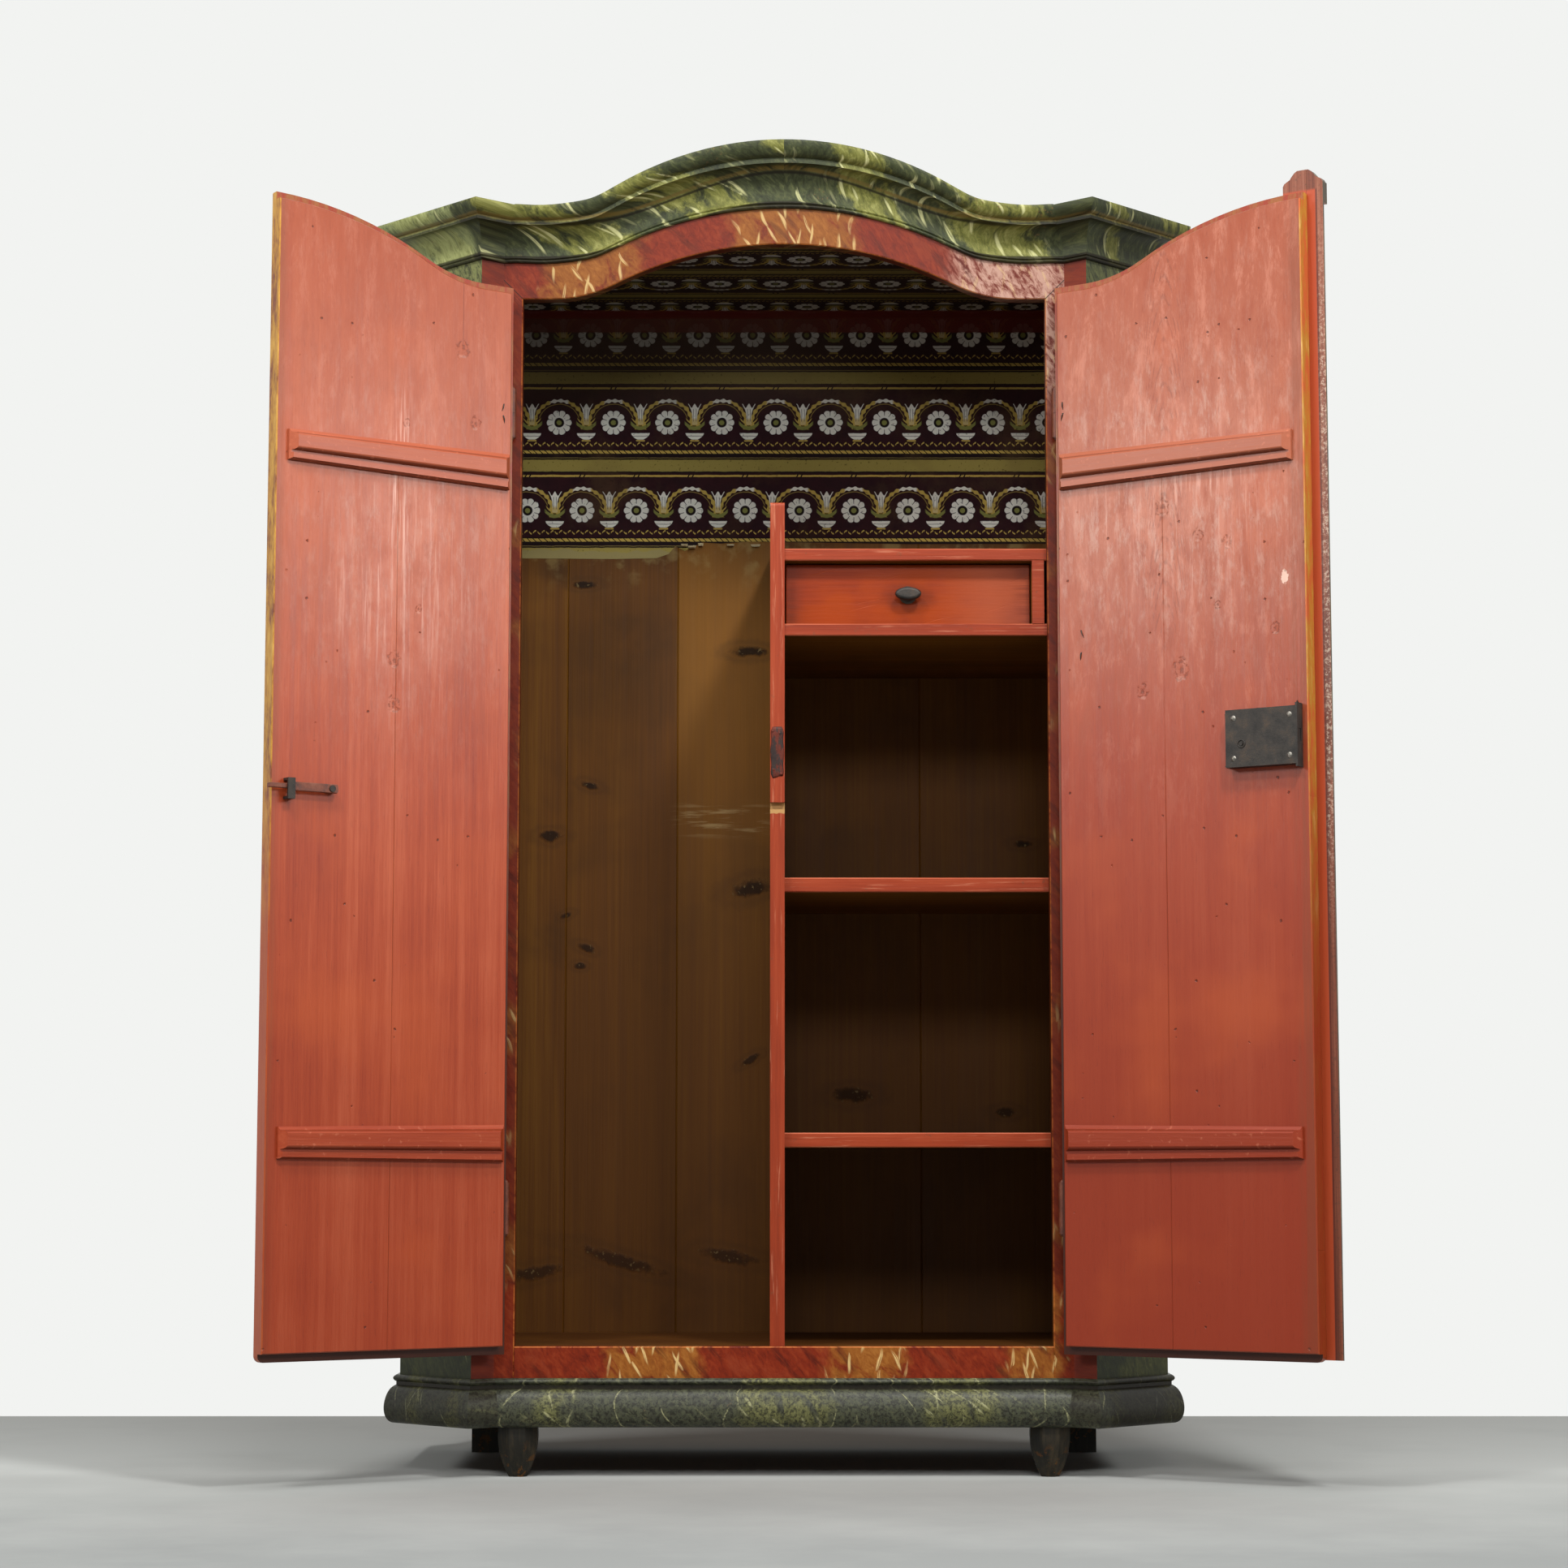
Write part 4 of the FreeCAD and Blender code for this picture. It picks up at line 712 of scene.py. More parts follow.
def doorFinish(name, door, along, part):
    fin = Finish(name, 0.3, doorTones)
    look = doors[door]
    hinge = doorHinge(door)
    angle = doorTurn(door)
    shut = fin.turn(fin.place, angle, (hinge.x, hinge.y, 0))
    nx, ny, nz = fin.split(fin.turn(fin.normal, angle))
    x, y, z = fin.split(shut)
    across = (x - hinge.x) * -look["side"]
    flat = fin.join(across, 0.0, z)
    fin.colour, height, hairs, boards = redPaint(fin, shut, along, doorTones)
    # painted shade: the door darker towards the bottom, the right door darker all over
    low = fin.soft(z, 1.0, 0.2) * 0.4 + look["shade"]
    fin.lay(low, "deep")
    wear = fin.streaks(shut, (75.0, 75.0, 20.0), 4.0, 0.7)
    faded = look["faded"] + hairs * 0.2
    # upper door lighter: partly faded paint, partly painted sheen; the very top darker again as painted
    # shade
    fin.lay(fin.soft(z, 0.95, 1.45) * faded, "faded")
    fin.lay(fin.soft(z, 1.35, 1.8) * look["top"], "brickAndShade")
    free = fin.soft(nx * -look["side"], 0.3, 0.5)
    ends = fin.soft(abs(nz), 0.4, 0.8)
    if part == "panel":
        height = boardMarks(fin, look, flat, boards, hairs, height)
        rim = fin.soft(across, 0.37, 0.386) * fin.soft(hairs, 0.3, 0.6)
        fin.lay(rim * 0.5, "brown")
        lip = fin.soft(y, 0.006, 0.003)
        rubbed = fin.mix(fin.soft(wear, 0.4, 0.6) * 0.7, doorTones["deep"], doorTones["rubbed"])
        turned = fin.mix(fin.soft(z, 0.6, 1.3), doorTones["shadow"], rubbed)
        fin.lay(lip, turned)
        edge = fin.ramp(wear, [(at, doorTones[key]) for at, key in look["edge"]])
        above, below, kept = look["sound"]
        edge = fin.mix(fin.soft(z, above, below) * 0.92, edge, doorTones[kept])
        ends = ends * fin.soft(wear, 0.3, 0.5) * 0.7
        fin.lay(ends, "brown")
        fin.lay(free, edge)
    elif part == "batten":
        # painted shade on the batten's upper and lower faces
        fin.lay(ends * 0.55, "dentAndShade")
        arris = fin.soft(fin.noise(flat, 120.0, 3.0), 0.6, 0.7)
        fin.lay(arris * 0.35, "arris")
    else:  # the cover strip
        fin.colour = fin.ramp(hairs, stripTones["coat"])
        pale = fin.within(z, 1.0, 1.6, 0.2) * fin.soft(wear, 0.54, 0.7) * 0.5
        fin.lay(pale, stripTones["bleached"])
        fleck = fin.noise(shut, 260.0, 4.0, 0.75)
        flaked = fin.soft(fleck, 0.5, 0.6) * fin.within(z, 0.85, 1.65, 0.15) * 0.5
        fin.lay(flaked, stripTones["fleck"])
        fin.lay(fin.soft(fleck, 0.46, 0.36) * 0.5, stripTones["soil"])
        shaft = fin.soft(z, 1.795, 1.79)
        fin.lay(fin.soft(across, 0.4132, 0.4122) * shaft, "body")
        # painted shadow in the gap between the door's edge and the strip
        shadowGroove = fin.within(across, 0.4126, 0.4152, 0.0005) * shaft
        fin.lay(shadowGroove * 0.8, "dentAndShade")
        narrow = fin.mix(fin.soft(wear, 0.4, 0.6), stripTones["edge"], doorTones["olive"])
        fin.lay(free, narrow)
    outside = fin.soft(ny, -0.3, -0.5)
    leaning = fin.turn(fin.join(x, z, 0.0), -0.6)
    zone = fin.soft(fin.streaks(leaning, (13.0, 4.0, 1.0), 4.0, 0.62, 0.3), 0.52, 0.62)
    outer, _ = marbled(fin, x, z, redMarble, zone * 0.75)
    marks = fin.dashes(x, z, *strokes["doorOuter"])
    outer = fin.mix(marks * zone * 0.8, outer, redMarble["stroke"])
    fin.lay(outside, outer)
    return fin.done(0.24 + hairs * 0.16 + wear * 0.06, height, 0.0008)


# lining paper printed in rows: rosettes under arches between flower urns
paper = {
    "period": 0.0863, "row": 0.142, "rosetteAt": (-0.358, 1.612), "rowShift": 0.432,
    "ground": tone(56, 20, 26), "white": tone(246, 246, 236), "gold": tone(206, 178, 88),
    "olive": tone(166, 150, 78), "line": tone(26, 12, 14), "leaf": tone(140, 142, 74),
    "corner": tone(112, 30, 24), "paintedShade": tone(16, 10, 8), "topShadeTone": tone(96, 78, 64),
    "night": tone(30, 10, 18), "faded": tone(112, 88, 58), "torn": tone(158, 146, 100),
}


def paperFinish(name, overhead):
    fin = Finish(name, 0.2, paper)
    x, y, z = fin.split(fin.place)
    up = y + 1.37 if overhead else z
    wobble = (fin.noise(fin.place, 90.0, 2.0) - 0.5) * 0.0016
    up = up + wobble
    x = x + wobble
    rows = (up + (-paper["rosetteAt"][1] + paper["row"] * 0.4)) * (1 / paper["row"])
    row = fin.calc("FLOOR", rows)
    v = (rows - row - 0.4) * (paper["row"] * 1000)
    turns = (x - paper["rosetteAt"][0]) * (1 / paper["period"])
    turns = turns + row * paper["rowShift"] + 0.5
    u = (fin.calc("FRACT", turns) - 0.5) * (paper["period"] * 1000)
    side = abs(u)
    stem = paper["period"] * 500 - side
    reach = fin.calc("SQRT", u * u + v * v)
    angle = fin.calc("ARCTAN2", v, u)
    along = x * 1000.0

    def wave(value, length):
        return fin.calc("SINE", value * (2 * math.pi / length))

    def near(value, at):
        return abs(value - at)

    fin.colour = fin.mix(fin.noise(fin.place, 55.0, 3.0), paper["ground"], paper["night"])

    lay = fin.lay
    # arch of leaves over the rosette
    arched = fin.calc("SQRT", u * u * 0.86 + v * v)
    thick = 2.3 + fin.calc("SINE", angle * 22.0) * 0.9
    bow = fin.soft(near(arched, 35.5) - thick, 0.5, -0.5)
    bow = bow * fin.soft(v, -12.0, -9.0)
    lay(bow, "gold")
    lay(bow * fin.soft(side, 16.0, 12.0) * fin.soft(v, 0.0, 4.0), "white")
    lay(fin.soft(near(arched, 30.0), 0.9, 0.3) * fin.soft(v, 6.0, 10.0) * 0.5, "gold")
    # leaves and urn under the flower
    spray = v + 9.0 - stem * stem * 0.035
    leaf = fin.soft(abs(spray), 3.4, 2.4) * fin.soft(stem, 17.0, 14.0)
    lay(leaf * fin.soft(v, -18.0, -16.0), "leaf")
    tips = v + 3.0 - stem * stem * 0.05
    lay(fin.soft(abs(tips), 1.7, 0.9) * fin.soft(stem, 15.0, 12.0), "gold")
    depth = v + 17.0
    bowl = 14.5 - depth * depth * 0.09
    cup = fin.soft(stem - bowl, 0.5, -0.5)
    lay(cup * fin.within(v, -27.5, -17.0, 0.5), "white")
    lay(cup * fin.within(v, -22.4, -21.4, 0.3) * 0.7, "line")
    lay(fin.soft(stem, 7.5, 6.5) * fin.within(v, -30.5, -28.0, 0.4), "gold")
    # flower: a slim neck opening to three lobes
    flare = fin.most(v - 8.0, 0.0)
    wide = 3.8 + flare * flare * 0.014
    bloom = fin.soft(stem - wide, 0.5, -0.5)
    crown = v - fin.calc("COSINE", stem * 0.62) * 3.2
    lay(bloom * fin.soft(v, -4.0, -2.0) * fin.soft(crown, 28.0, 26.5), "white")
    lay(bloom * fin.within(v, -4.0, 6.0, 3.0) * 0.8, "gold")
    rib = fin.soft(near(stem, 2.2), 0.8, 0.2) * fin.within(v, 2.0, 22.0, 1.0)
    lay(rib * 0.7, "line")
    # rosette of ten petals
    scallop = abs(fin.calc("COSINE", angle * 5.0))
    rim = 15.8 + fin.calc("POWER", scallop, 0.5) * 4.0
    lay(fin.soft(reach - rim, 0.5, -0.5), "white")
    gap = fin.soft(scallop, 0.3, 0.12) * fin.within(reach, 11.0, 18.5, 0.5)
    lay(gap * 0.8, "line")
    lay(fin.soft(reach, 8.4, 7.4), "line")
    lay(fin.soft(reach, 4.6, 3.6), "leaf")
    # twisted cord, gold bead, dark lines and the olive band
    cord = v + 35.0 - wave(along, 13.7) * 2.4
    breaks = fin.soft(wave(along, 6.85), -0.7, -0.2)
    twist = fin.soft(abs(cord), 1.5, 0.8) * breaks
    lay(twist, "gold")
    bead = fin.soft(wave(along + v, 9.0), -0.95, -0.6)
    bead = fin.within(v, -50.0, -45.0, 0.4) * bead
    lay(fin.within(v, -56.0, -43.5, 0.4), "line")
    lay(bead, "gold")
    lay(fin.soft(v, 62.5, 63.2), "olive")
    lay(fin.within(v, 60.5, 63.0, 0.3), "line")
    lay(fin.within(v, 82.0, 84.5, 0.3), "line")
    lay(fin.soft(v, 84.8, 85.4) * 0.85, "olive")
    lay(fin.within(v, 54.2, 57.4, 0.3), "gold")
    paired = abs(u - v * 0.5 + 28.0)
    lay(fin.soft(near(paired, 3.4), 1.5, 0.9) * fin.within(v, 52.5, 59.5, 0.4), "line")
    # age: foxing, faded print, and the plain strip at the corner with the ceiling; below, painted shade
    # on the ceiling and on the top of the back
    strip = fin.soft(y, 0.4, 0.412) if overhead else fin.soft(z, 1.757, 1.76)
    lay(strip * 0.95, "corner")
    fade = fin.noise(fin.place, 8.0, 5.0, 0.65)
    lay(fin.soft(fade, 0.5, 0.75) * 0.3, "faded")
    fleck = fin.soft(fin.noise(fin.place, 240.0, 2.0), 0.63, 0.7)
    lay(fleck * 0.5, "line")
    if overhead:
        # painted shade: the ceiling paper darkened
        lay(0.62 - strip * 0.36, "paintedShade")
    else:
        # painted shade: the top of the back paper darker, the left side more
        gloom = 0.3 - fin.soft(x, 0.0, 0.3) * 0.2
        gloom = fin.soft(z, 1.56, 1.72) * gloom
        gloom = gloom * (1.0 - strip * 0.6)
        lay(gloom, "paintedShade")
        topShade = 0.14 + fin.soft(x, 0.2, -0.05) * 0.3
        topShade = fin.soft(z, 1.6, 1.72) * topShade
        lay(topShade, "topShadeTone")
        torn = fin.noise(fin.place, 34.0, 4.0)
        edge = fin.soft(z - torn * 0.02, 1.397, 1.394)
        lay(edge * 0.8, "torn")
    height = fin.noise(fin.place, 60.0, 4.0, 0.6)
    return fin.done(0.7 + fade * 0.2, height, 0.001, 0.5)


def ironFinish(name, smear=0.0):
    fin = Finish(name, 0.4)
    cloud = fin.noise(fin.place, 45.0, 5.0, 0.65)
    pits = fin.noise(fin.place, 420.0, 4.0, 0.7)
    stops = [(0.34, tone(34, 33, 32)), (0.52, tone(54, 50, 46)), (0.72, tone(76, 62, 50))]
    fin.colour = fin.ramp(cloud * 0.75 + pits * 0.25, stops)
    if smear:  # paint brushed over the edge of the iron
        patch = fin.soft(fin.streaks(fin.place, (120.0, 120.0, 40.0), 3.0, 0.7), 0.44, 0.56)
        fin.lay(0.6, tone(44, 24, 20))
        fin.lay(patch * smear, innerTones["deep"])
    rough = 0.34 + pits * 0.36
    fin.shader.inputs["Metallic"].default_value = 0.55
    return fin.done(rough, pits + cloud * 0.5, 0.0006)


def barFinish():
    fin = Finish("paintedLatchIron", 0.4)
    cloud = fin.noise(fin.place, 60.0, 4.0, 0.65)
    pits = fin.noise(fin.place, 380.0, 4.0, 0.7)
    stops = [(0.34, tone(64, 32, 22)), (0.52, tone(108, 54, 34)), (0.7, tone(128, 74, 52))]
    fin.colour = fin.ramp(cloud * 0.7 + pits * 0.3, stops)
    return fin.done(0.3 + pits * 0.3, pits, 0.0005)


# rivet heads pale: rubbed iron, and painted highlight
def rivetFinish():
    fin = Finish("rubbedHighlightedRivets", 0.5)
    pits = fin.noise(fin.place, 300.0, 3.0, 0.6)
    stops = [(0.3, tone(66, 62, 56)), (0.5, tone(112, 108, 100)), (0.7, tone(160, 154, 144))]
    fin.colour = fin.ramp(pits, stops)
    fin.shader.inputs["Metallic"].default_value = 0.6
    return fin.done(0.25 + pits * 0.25, pits, 0.0003)


def tornFinish():
    fin = Finish("tornPaperEdge", 0.15)
    fibre = fin.noise(fin.place, 260.0, 4.0, 0.7)
    cloud = fin.noise(fin.place, 40.0, 3.0)
    stops = [(0.3, tone(150, 124, 82)), (0.5, tone(206, 190, 150)), (0.7, tone(232, 222, 190))]
    fin.colour = fin.ramp(fibre * 0.5 + cloud * 0.5, stops)
    return fin.done(0.75 + fibre * 0.2, fibre, 0.0006)


def footFinish():
    fin = Finish("darkFootPaint", 0.25)
    cloud = fin.noise(fin.place, 22.0, 5.0, 0.65, 0.6)
    brush = fin.streaks(fin.place, (140.0, 140.0, 9.0), 3.0, 0.7)
    stops = [(0.38, tone(14, 13, 9)), (0.52, tone(30, 27, 19)), (0.7, tone(64, 53, 36))]
    fin.colour = fin.ramp(cloud * 0.6 + brush * 0.4, stops)
    z = fin.split(fin.place)[2]
    chip = fin.soft(fin.noise(fin.place, 75.0, 4.0, 0.7), 0.56, 0.62)
    chip = chip * fin.soft(z, 0.06, 0.0)
    fin.lay(chip * 0.8, pineTones["body"])
    return fin.done(0.45 + cloud * 0.25, brush, 0.001)


finishes = {
    "moulding": mouldingFinish(), "post": postFinish(), "frame": frameFinish(),
    "side": sideFinish(), "back": backFinish(), "iron": ironFinish("forgedIron"), "foot": footFinish(),
    "strike": ironFinish("smearedIron", 0.5),
    "dusty": bareFinish("dustyBoardsAcross", 0, 0.6),
    "floor": bareFinish("darkFloorBoards", 0, 0.9, "deep"),
    "bareAcross": bareFinish("bareBoardsAcross", 0), "bareDeep": bareFinish("bareBoardsDeep", 1),
    "upright": edgedFinish("redEdgedUpright", 2, edgeDepth["upright"], True),
    "shelf": edgedFinish("redEdgedShelf", 0, edgeDepth["shelf"]),
    "case": edgedFinish("redEdgedCase", 0, edgeDepth["case"]),
    "drawer": drawerFinish(), "bar": barFinish(), "rivet": rivetFinish(), "torn": tornFinish(),
    "paperBack": paperFinish("printedPaperBack", False),
    "paperCeiling": paperFinish("printedPaperCeiling", True),
    "leftDoor": doorFinish("leftDoorPaint", "left", 2, "panel"),
    "rightDoor": doorFinish("rightDoorPaint", "right", 2, "panel"),
    "leftBatten": doorFinish("leftBattenPaint", "left", 0, "batten"),
    "rightBatten": doorFinish("rightBattenPaint", "right", 0, "batten"),
    "strip": doorFinish("coverStripPaint", "right", 2, "strip"),
}
dressed = {  # first words of a node's name and the finish it takes
    "side_board": "side", "corner_post": "post", "front_stile": "frame", "arched_top": "frame",
    "bottom_front": "frame", "floor_board": "floor", "ceiling_board": "dusty",
    "back_board": "back", "front_foot": "foot", "rear_foot": "foot", "cornice_": "moulding",
    "base_": "moulding", "partition": "upright", "lower_shelf": "shelf", "upper_shelf": "shelf",
    "drawer_case": "case", "wallpaper_back": "paperBack",
    "wallpaper_ceiling": "paperCeiling", "frame_hinges": "bar", "left_door_hinges": "bar",
    "right_door_hinges": "bar", "left_door_panel": "leftDoor", "right_door_panel": "rightDoor",
    "left_door_": "leftBatten", "right_door_": "rightBatten", "left_latch_bar": "bar",
    "left_latch": "iron", "lock_rivets": "rivet", "lock_": "iron", "cover_strip": "strip",
    "drawer_knob": "iron", "drawer_front": "drawer", "drawer_side": "bareDeep",
    "drawer_back": "bareAcross", "drawer_bottom": "bareDeep",
}


def dress():
    for name, piece in nodes.items():
        first = next(key for key in dressed if name.startswith(key))
        piece.data.materials.clear()
        piece.data.materials.append(finishes[dressed[first]])
    print("finishes laid on", len(nodes), "pieces")


dress()

# small ironwork and torn paper, too slight for the part itself
strike = {
    "x": (-0.0199, 0.0003), "z": (0.992, 1.067), "face": 0.014, "thick": 0.0011, "grid": (24, 10),
    "nails": [(-0.0165, 1.0605), (-0.006, 1.0575), (-0.0045, 0.9985), (-0.0155, 1.0045)],
    "nailRadius": 0.0019, "nailRise": 0.0005, "waist": 0.07, "corner": 0.006, "buckle": 0.00012,
}
doorNails = {  # across, level and lean of each
    "left": [(0.028, 1.528, 0.3), (0.029, 1.511, -0.2)],
    "right": [(0.024, 1.531, 0.1), (0.025, 1.515, -0.3), (0.051, 1.196, 0.4), (0.051, 1.164, -0.1)],
    "inner": 0.012, "length": 0.011, "radius": 0.0011, "rise": 0.0016, "sunk": 0.0002,
    "taper": 0.55, "steps": 8,
}
keyRing = {
    "across": 0.3075, "level": 1.014, "out": 0.018, "radius": 0.0052, "wire": 0.0009, "steps": 24,
}
curls = {  # across, top, width, length, turn of each torn flap
    "flaps": [(-0.158, 1.4165, 0.011, 0.011, 2.2), (-0.146, 1.4135, 0.013, 0.013, 2.6),
              (-0.132, 1.4175, 0.009, 0.010, 1.9), (-0.085, 1.416, 0.012, 0.009, 2.3),
              (-0.045, 1.4155, 0.016, 0.006, 1.5)],
    "grid": (9, 6), "thick": 0.0004, "gap": 0.0006, "ragged": 0.12, "narrowing": 0.35,
}


def addPiece(name, shape, body, finish):
    bmesh.ops.recalc_face_normals(shape, faces=shape.faces)
    mesh = bpy.data.meshes.new(name)
    shape.to_mesh(mesh)
    shape.free()
    mesh.materials.append(finishes[finish])
    for polygon in mesh.polygons:
        polygon.use_smooth = True
    piece = bpy.data.objects.new(name, mesh)
    bpy.context.scene.collection.objects.link(piece)
    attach(piece, body)


def thinSheet(shape, grid, surfaces):  # closed sheet between two surfaces, each given over 0 to 1
    rows, columns = grid
    layers = []
    for surface in surfaces:
        points = [[surface(i / rows, j / columns) for j in range(columns + 1)] for i in range(rows + 1)]
        layers.append([[shape.verts.new(point) for point in row] for row in points])
    for layer in layers:
        for i in range(rows):
            for j in range(columns):
                shape.faces.new((layer[i][j], layer[i][j + 1], layer[i + 1][j + 1], layer[i + 1][j]))
    rim = [(0, j) for j in range(columns)] + [(i, columns) for i in range(rows)]
    rim += [(rows, j) for j in range(columns, 0, -1)] + [(i, 0) for i in range(rows, 0, -1)]
    for (a, b), (c, d) in zip(rim, rim[1:] + rim[:1]):
        shape.faces.new((layers[0][a][b], layers[0][c][d], layers[1][c][d], layers[1][a][b]))


def dome(shape, at, out, radius, rise, sides=12, rings=4):  # low round nail head
    first = out.orthogonal().normalized()
    second = out.cross(first)
    last = None
    for ring in range(rings):
        share = math.cos(ring / rings * math.pi / 2)
        height = math.sin(ring / rings * math.pi / 2) * rise
        verts = []
        for k in range(sides):
            angle = 2 * math.pi * k / sides
            spot = first * math.cos(angle) + second * math.sin(angle)
            verts.append(shape.verts.new(at + spot * radius * share + out * height))
        if last:
            for k in range(sides):
                shape.faces.new((last[k - 1], last[k], verts[k], verts[k - 1]))
        else:
            shape.faces.new(verts)
        last = verts
    shape.faces.new(last)


def sweep(shape, path, radii, flat, sides=8, closed=False):  # round bar bent in one plane
    rings = []
    count = len(path)
    for i, at in enumerate(path):
        ahead = path[(i + 1) % count] if closed else path[min(i + 1, count - 1)]
        behind = path[i - 1] if closed else path[max(i - 1, 0)]
        across = (ahead - behind).normalized().cross(flat)
        ring = []
        for k in range(sides):
            angle = 2 * math.pi * k / sides
            spot = flat * math.cos(angle) + across * math.sin(angle)
            ring.append(shape.verts.new(at + spot * radii[i]))
        rings.append(ring)
    pairs = list(zip(rings, rings[1:] + rings[:1])) if closed else list(zip(rings, rings[1:]))
    for one, two in pairs:
        for k in range(sides):
            shape.faces.new((one[k - 1], one[k], two[k], two[k - 1]))
    if not closed:
        shape.faces.new(rings[0])
        shape.faces.new(rings[-1])


def makeStrike():
    left, right = strike["x"]
    low, high = strike["z"]
    origin = Vector((middle, front, 0))

    def outline(v, u):  # waisted plate with softened corners
        half = (right - left) / 2 * (1 - strike["waist"] * (1 - math.cos(4 * math.pi * v)))
        trim = strike["corner"] * max(0.0, abs(v - 0.5) * 2 - 0.8) / 0.2
        x = (left + right) / 2 + (2 * u - 1) * (half - trim * 0.6)
        z = low + (high - low) * v + (strike["corner"] * u * u if v < 0.02 else 0.0)
        return x, z

    def top(v, u):
        x, z = outline(v, u)
        edge = max(abs(2 * u - 1), abs(2 * v - 1)) ** 8
        wave = strike["buckle"] * math.sin(v * 23) * math.cos(u * 5)
        y = strike["face"] - strike["thick"] * (1 - 0.75 * edge) + wave
        return origin + Vector((x, y, z))

    def back(v, u):
        x, z = outline(v, u)
        return origin + Vector((x, strike["face"], z))

    shape = bmesh.new()
    thinSheet(shape, strike["grid"], (top, back))
    for x, z in strike["nails"]:
        at = origin + Vector((x, strike["face"] - strike["thick"], z))
        dome(shape, at, Vector((0, -1, 0)), strike["nailRadius"], strike["nailRise"])
    addPiece("strikePlate", shape, "carcass", "strike")


def onDoor(door, across, level, out):  # where a point off a door's inner face is when it stands open
    hinge = doorHinge(door)
    shut = Vector((-doors[door]["side"] * across, doorNails["inner"] + out - hinge.y, 0))
    swung = Matrix.Rotation(-doorTurn(door), 3, "Z") @ shut
    return swung + Vector((hinge.x + middle, hinge.y + front, level))


def makeNails(door):
    shape = bmesh.new()
    for across, level, lean in doorNails[door]:
        path, radii = [], []
        for i in range(doorNails["steps"] + 1):
            share = i / doorNails["steps"]
            out = doorNails["rise"] * math.sin(math.pi * min(share * 1.15, 1.0))
            down = doorNails["length"] * share
            path.append(onDoor(door, across + down * lean, level - down, out - doorNails["sunk"]))
            radii.append(doorNails["radius"] * (1.0 - doorNails["taper"] * share))
        flat = (onDoor(door, across + 1, level, 0) - onDoor(door, across, level, 0)).normalized()
        sweep(shape, path, radii, flat)
    addPiece(door + "DoorNails", shape, door + "_door", "iron")


def makeKeyRing():
    shape = bmesh.new()
    path = []
    for k in range(keyRing["steps"]):
        angle = 2 * math.pi * k / keyRing["steps"]
        across = keyRing["across"] + keyRing["radius"] * math.cos(angle)
        level = keyRing["level"] + keyRing["radius"] * math.sin(angle)
        path.append(onDoor("right", across, level, keyRing["out"] + keyRing["wire"] * 0.5))
    flat = onDoor("right", 0, 0, 1) - onDoor("right", 0, 0, 0)
    sweep(shape, path, [keyRing["wire"]] * len(path), flat, 8, True)
    addPiece("keyRing", shape, "right_door", "iron")


def makeCurls():
    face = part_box("wallpaper_back")[0].y
    shape = bmesh.new()
    for x, z, wide, length, turn in curls["flaps"]:
        radius = length / turn

        def flap(v, u, lift=0.0):
            angle = turn * v
            ragged = curls["ragged"] * math.sin(u * 17 + x * 900) * v
            spot = radius + lift
            y = face - curls["gap"] - (radius - spot * math.cos(angle * (1 + ragged)))
            drop = spot * math.sin(angle * (1 + ragged))
            across = wide * (u - 0.5) * (1 - curls["narrowing"] * v)
            return Vector((middle + x + across, y, z - drop))

        thinSheet(shape, curls["grid"], (flap, lambda v, u: flap(v, u, curls["thick"])))
    addPiece("paperCurls", shape, "carcass", "torn")


makeStrike()
makeNails("left")
makeNails("right")
makeKeyRing()
makeCurls()
print("small fittings made")

stage = {
    "wall": 1.19, "half": 7.0, "near": 9.0, "sky": tone(242, 243, 241),
    "nearTone": tone(149, 152, 150), "farTone": tone(208, 210, 206), "shadeTone": tone(70, 70, 66),
}
ambient = 0.115
lamps = [  # place from the middle of the front, aim, strength, width and height
    {"name": "highRight", "at": (1.0, -2.2, 3.6), "aim": (0, 0, 1.0), "watts": 67, "size": (0.4, 0.4)},
    {"name": "highLeft", "at": (-1.25, -2.1, 3.5), "aim": (0, 0, 1.0), "watts": 48, "size": (0.5, 0.5)},
    {"name": "sideRight", "at": (3.0, -2.0, 2.1), "aim": (0, 0, 1.1), "watts": 42, "size": (1.4, 0.5)},
    {"name": "sideLeft", "at": (-3.0, -2.0, 2.1), "aim": (0, 0, 1.1), "watts": 42, "size": (1.4, 0.5)},
    {"name": "frontSoft", "at": (0.2, -4.0, 2.5), "aim": (0, 0, 1.3), "watts": 34, "size": (1.0, 0.6)},
    {"name": "overhead", "at": (0.0, -1.3, 4.6), "aim": (0, -0.6, 0), "watts": 60, "size": (2.0, 2.0)},
    {"name": "rear", "at": (0, 3.3, 0.4), "aim": (0, 0.5, 1.3), "watts": 19, "size": (0.9, 0.2),
     "spread": 44, "shine": False},
]


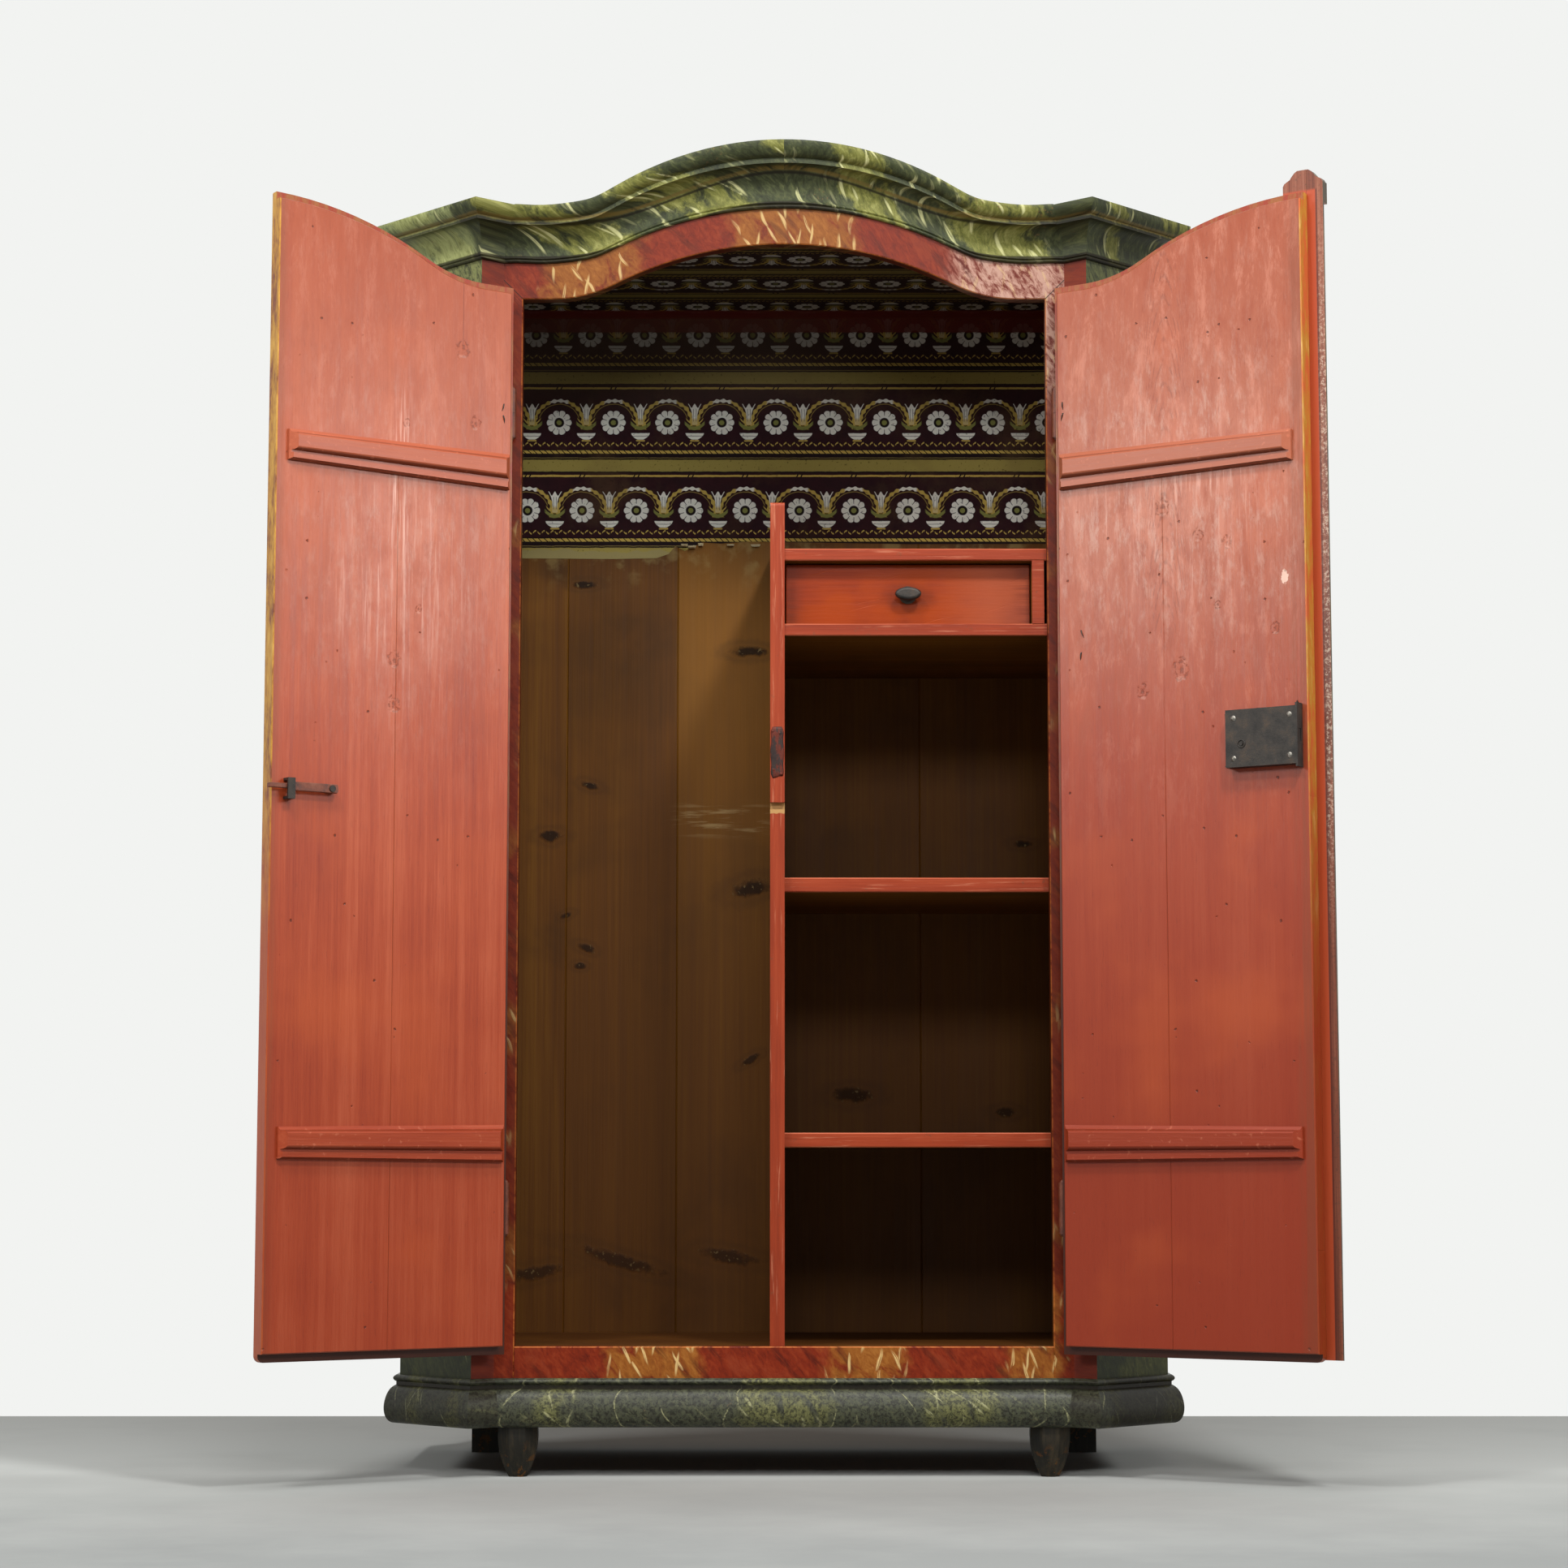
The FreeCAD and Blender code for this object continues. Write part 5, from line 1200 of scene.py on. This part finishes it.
def setStage():
    mesh = bpy.data.meshes.new("studioFloor")
    far, near, half = front + stage["wall"], front - stage["near"], stage["half"]
    corners = [(-half, near, 0), (half, near, 0), (half, far, 0), (-half, far, 0)]
    mesh.from_pydata(corners, [], [(0, 1, 2, 3)])
    floor = bpy.data.objects.new("studioFloor", mesh)
    bpy.context.scene.collection.objects.link(floor)
    fin = Finish("paleFloor", 0.0)
    x, y, _ = fin.split(fin.place)
    cloud = fin.noise(fin.place, 3.0, 6.0, 0.6)
    share = fin.soft(y, -1.1, 0.3) + (cloud - 0.5) * 0.5
    fin.colour = fin.ramp(share, [(0.0, stage["nearTone"]), (1.0, stage["farTone"])])
    aside = abs(x)
    calm = 0.4 + fin.soft(aside, 1.0, 0.35) * 0.6
    calm = calm * fin.soft(y, -0.9, -0.2) * fin.soft(y, 0.12, -0.08)
    fin.lay(calm * 0.46, stage["shadeTone"])  # darker floor before the base
    mesh.materials.append(fin.done(0.5 + cloud * 0.2, cloud, 0.0005))
    world = bpy.data.worlds.new("studio")
    world.use_nodes = True
    tree = world.node_tree
    path = tree.nodes.new("ShaderNodeLightPath")
    seen = path.outputs["Is Camera Ray"]
    for ray in ("Is Glossy Ray", "Is Transmission Ray"):
        both = tree.nodes.new("ShaderNodeMath")
        both.operation = "MAXIMUM"
        tree.links.new(seen, both.inputs[0])
        tree.links.new(path.outputs[ray], both.inputs[1])
        seen = both.outputs[0]
    sky = tree.nodes.new("ShaderNodeMix")
    sky.data_type = "RGBA"
    sky.inputs[6].default_value = (ambient, ambient, ambient, 1)
    sky.inputs[7].default_value = stage["sky"]
    tree.links.new(seen, sky.inputs[0])
    tree.links.new(sky.outputs[2], tree.nodes["Background"].inputs["Color"])
    bpy.context.scene.world = world
    for lamp in lamps:
        data = bpy.data.lights.new(lamp["name"], "AREA")
        data.shape = "RECTANGLE"
        data.energy = lamp["watts"]
        data.size, data.size_y = lamp["size"]
        data.spread = math.radians(lamp.get("spread", 180))
        light = bpy.data.objects.new(lamp["name"], data)
        light.location = Vector(lamp["at"]) + Vector((middle, front, 0))
        aim = Vector(lamp["at"]) - Vector(lamp["aim"])
        light.rotation_euler = aim.to_track_quat("Z", "Y").to_euler()
        light.visible_camera = False
        light.visible_glossy = lamp.get("shine", True)
        bpy.context.scene.collection.objects.link(light)
    bpy.context.scene.view_settings.view_transform = "Standard"
    print("stage and lamps set")


setStage()
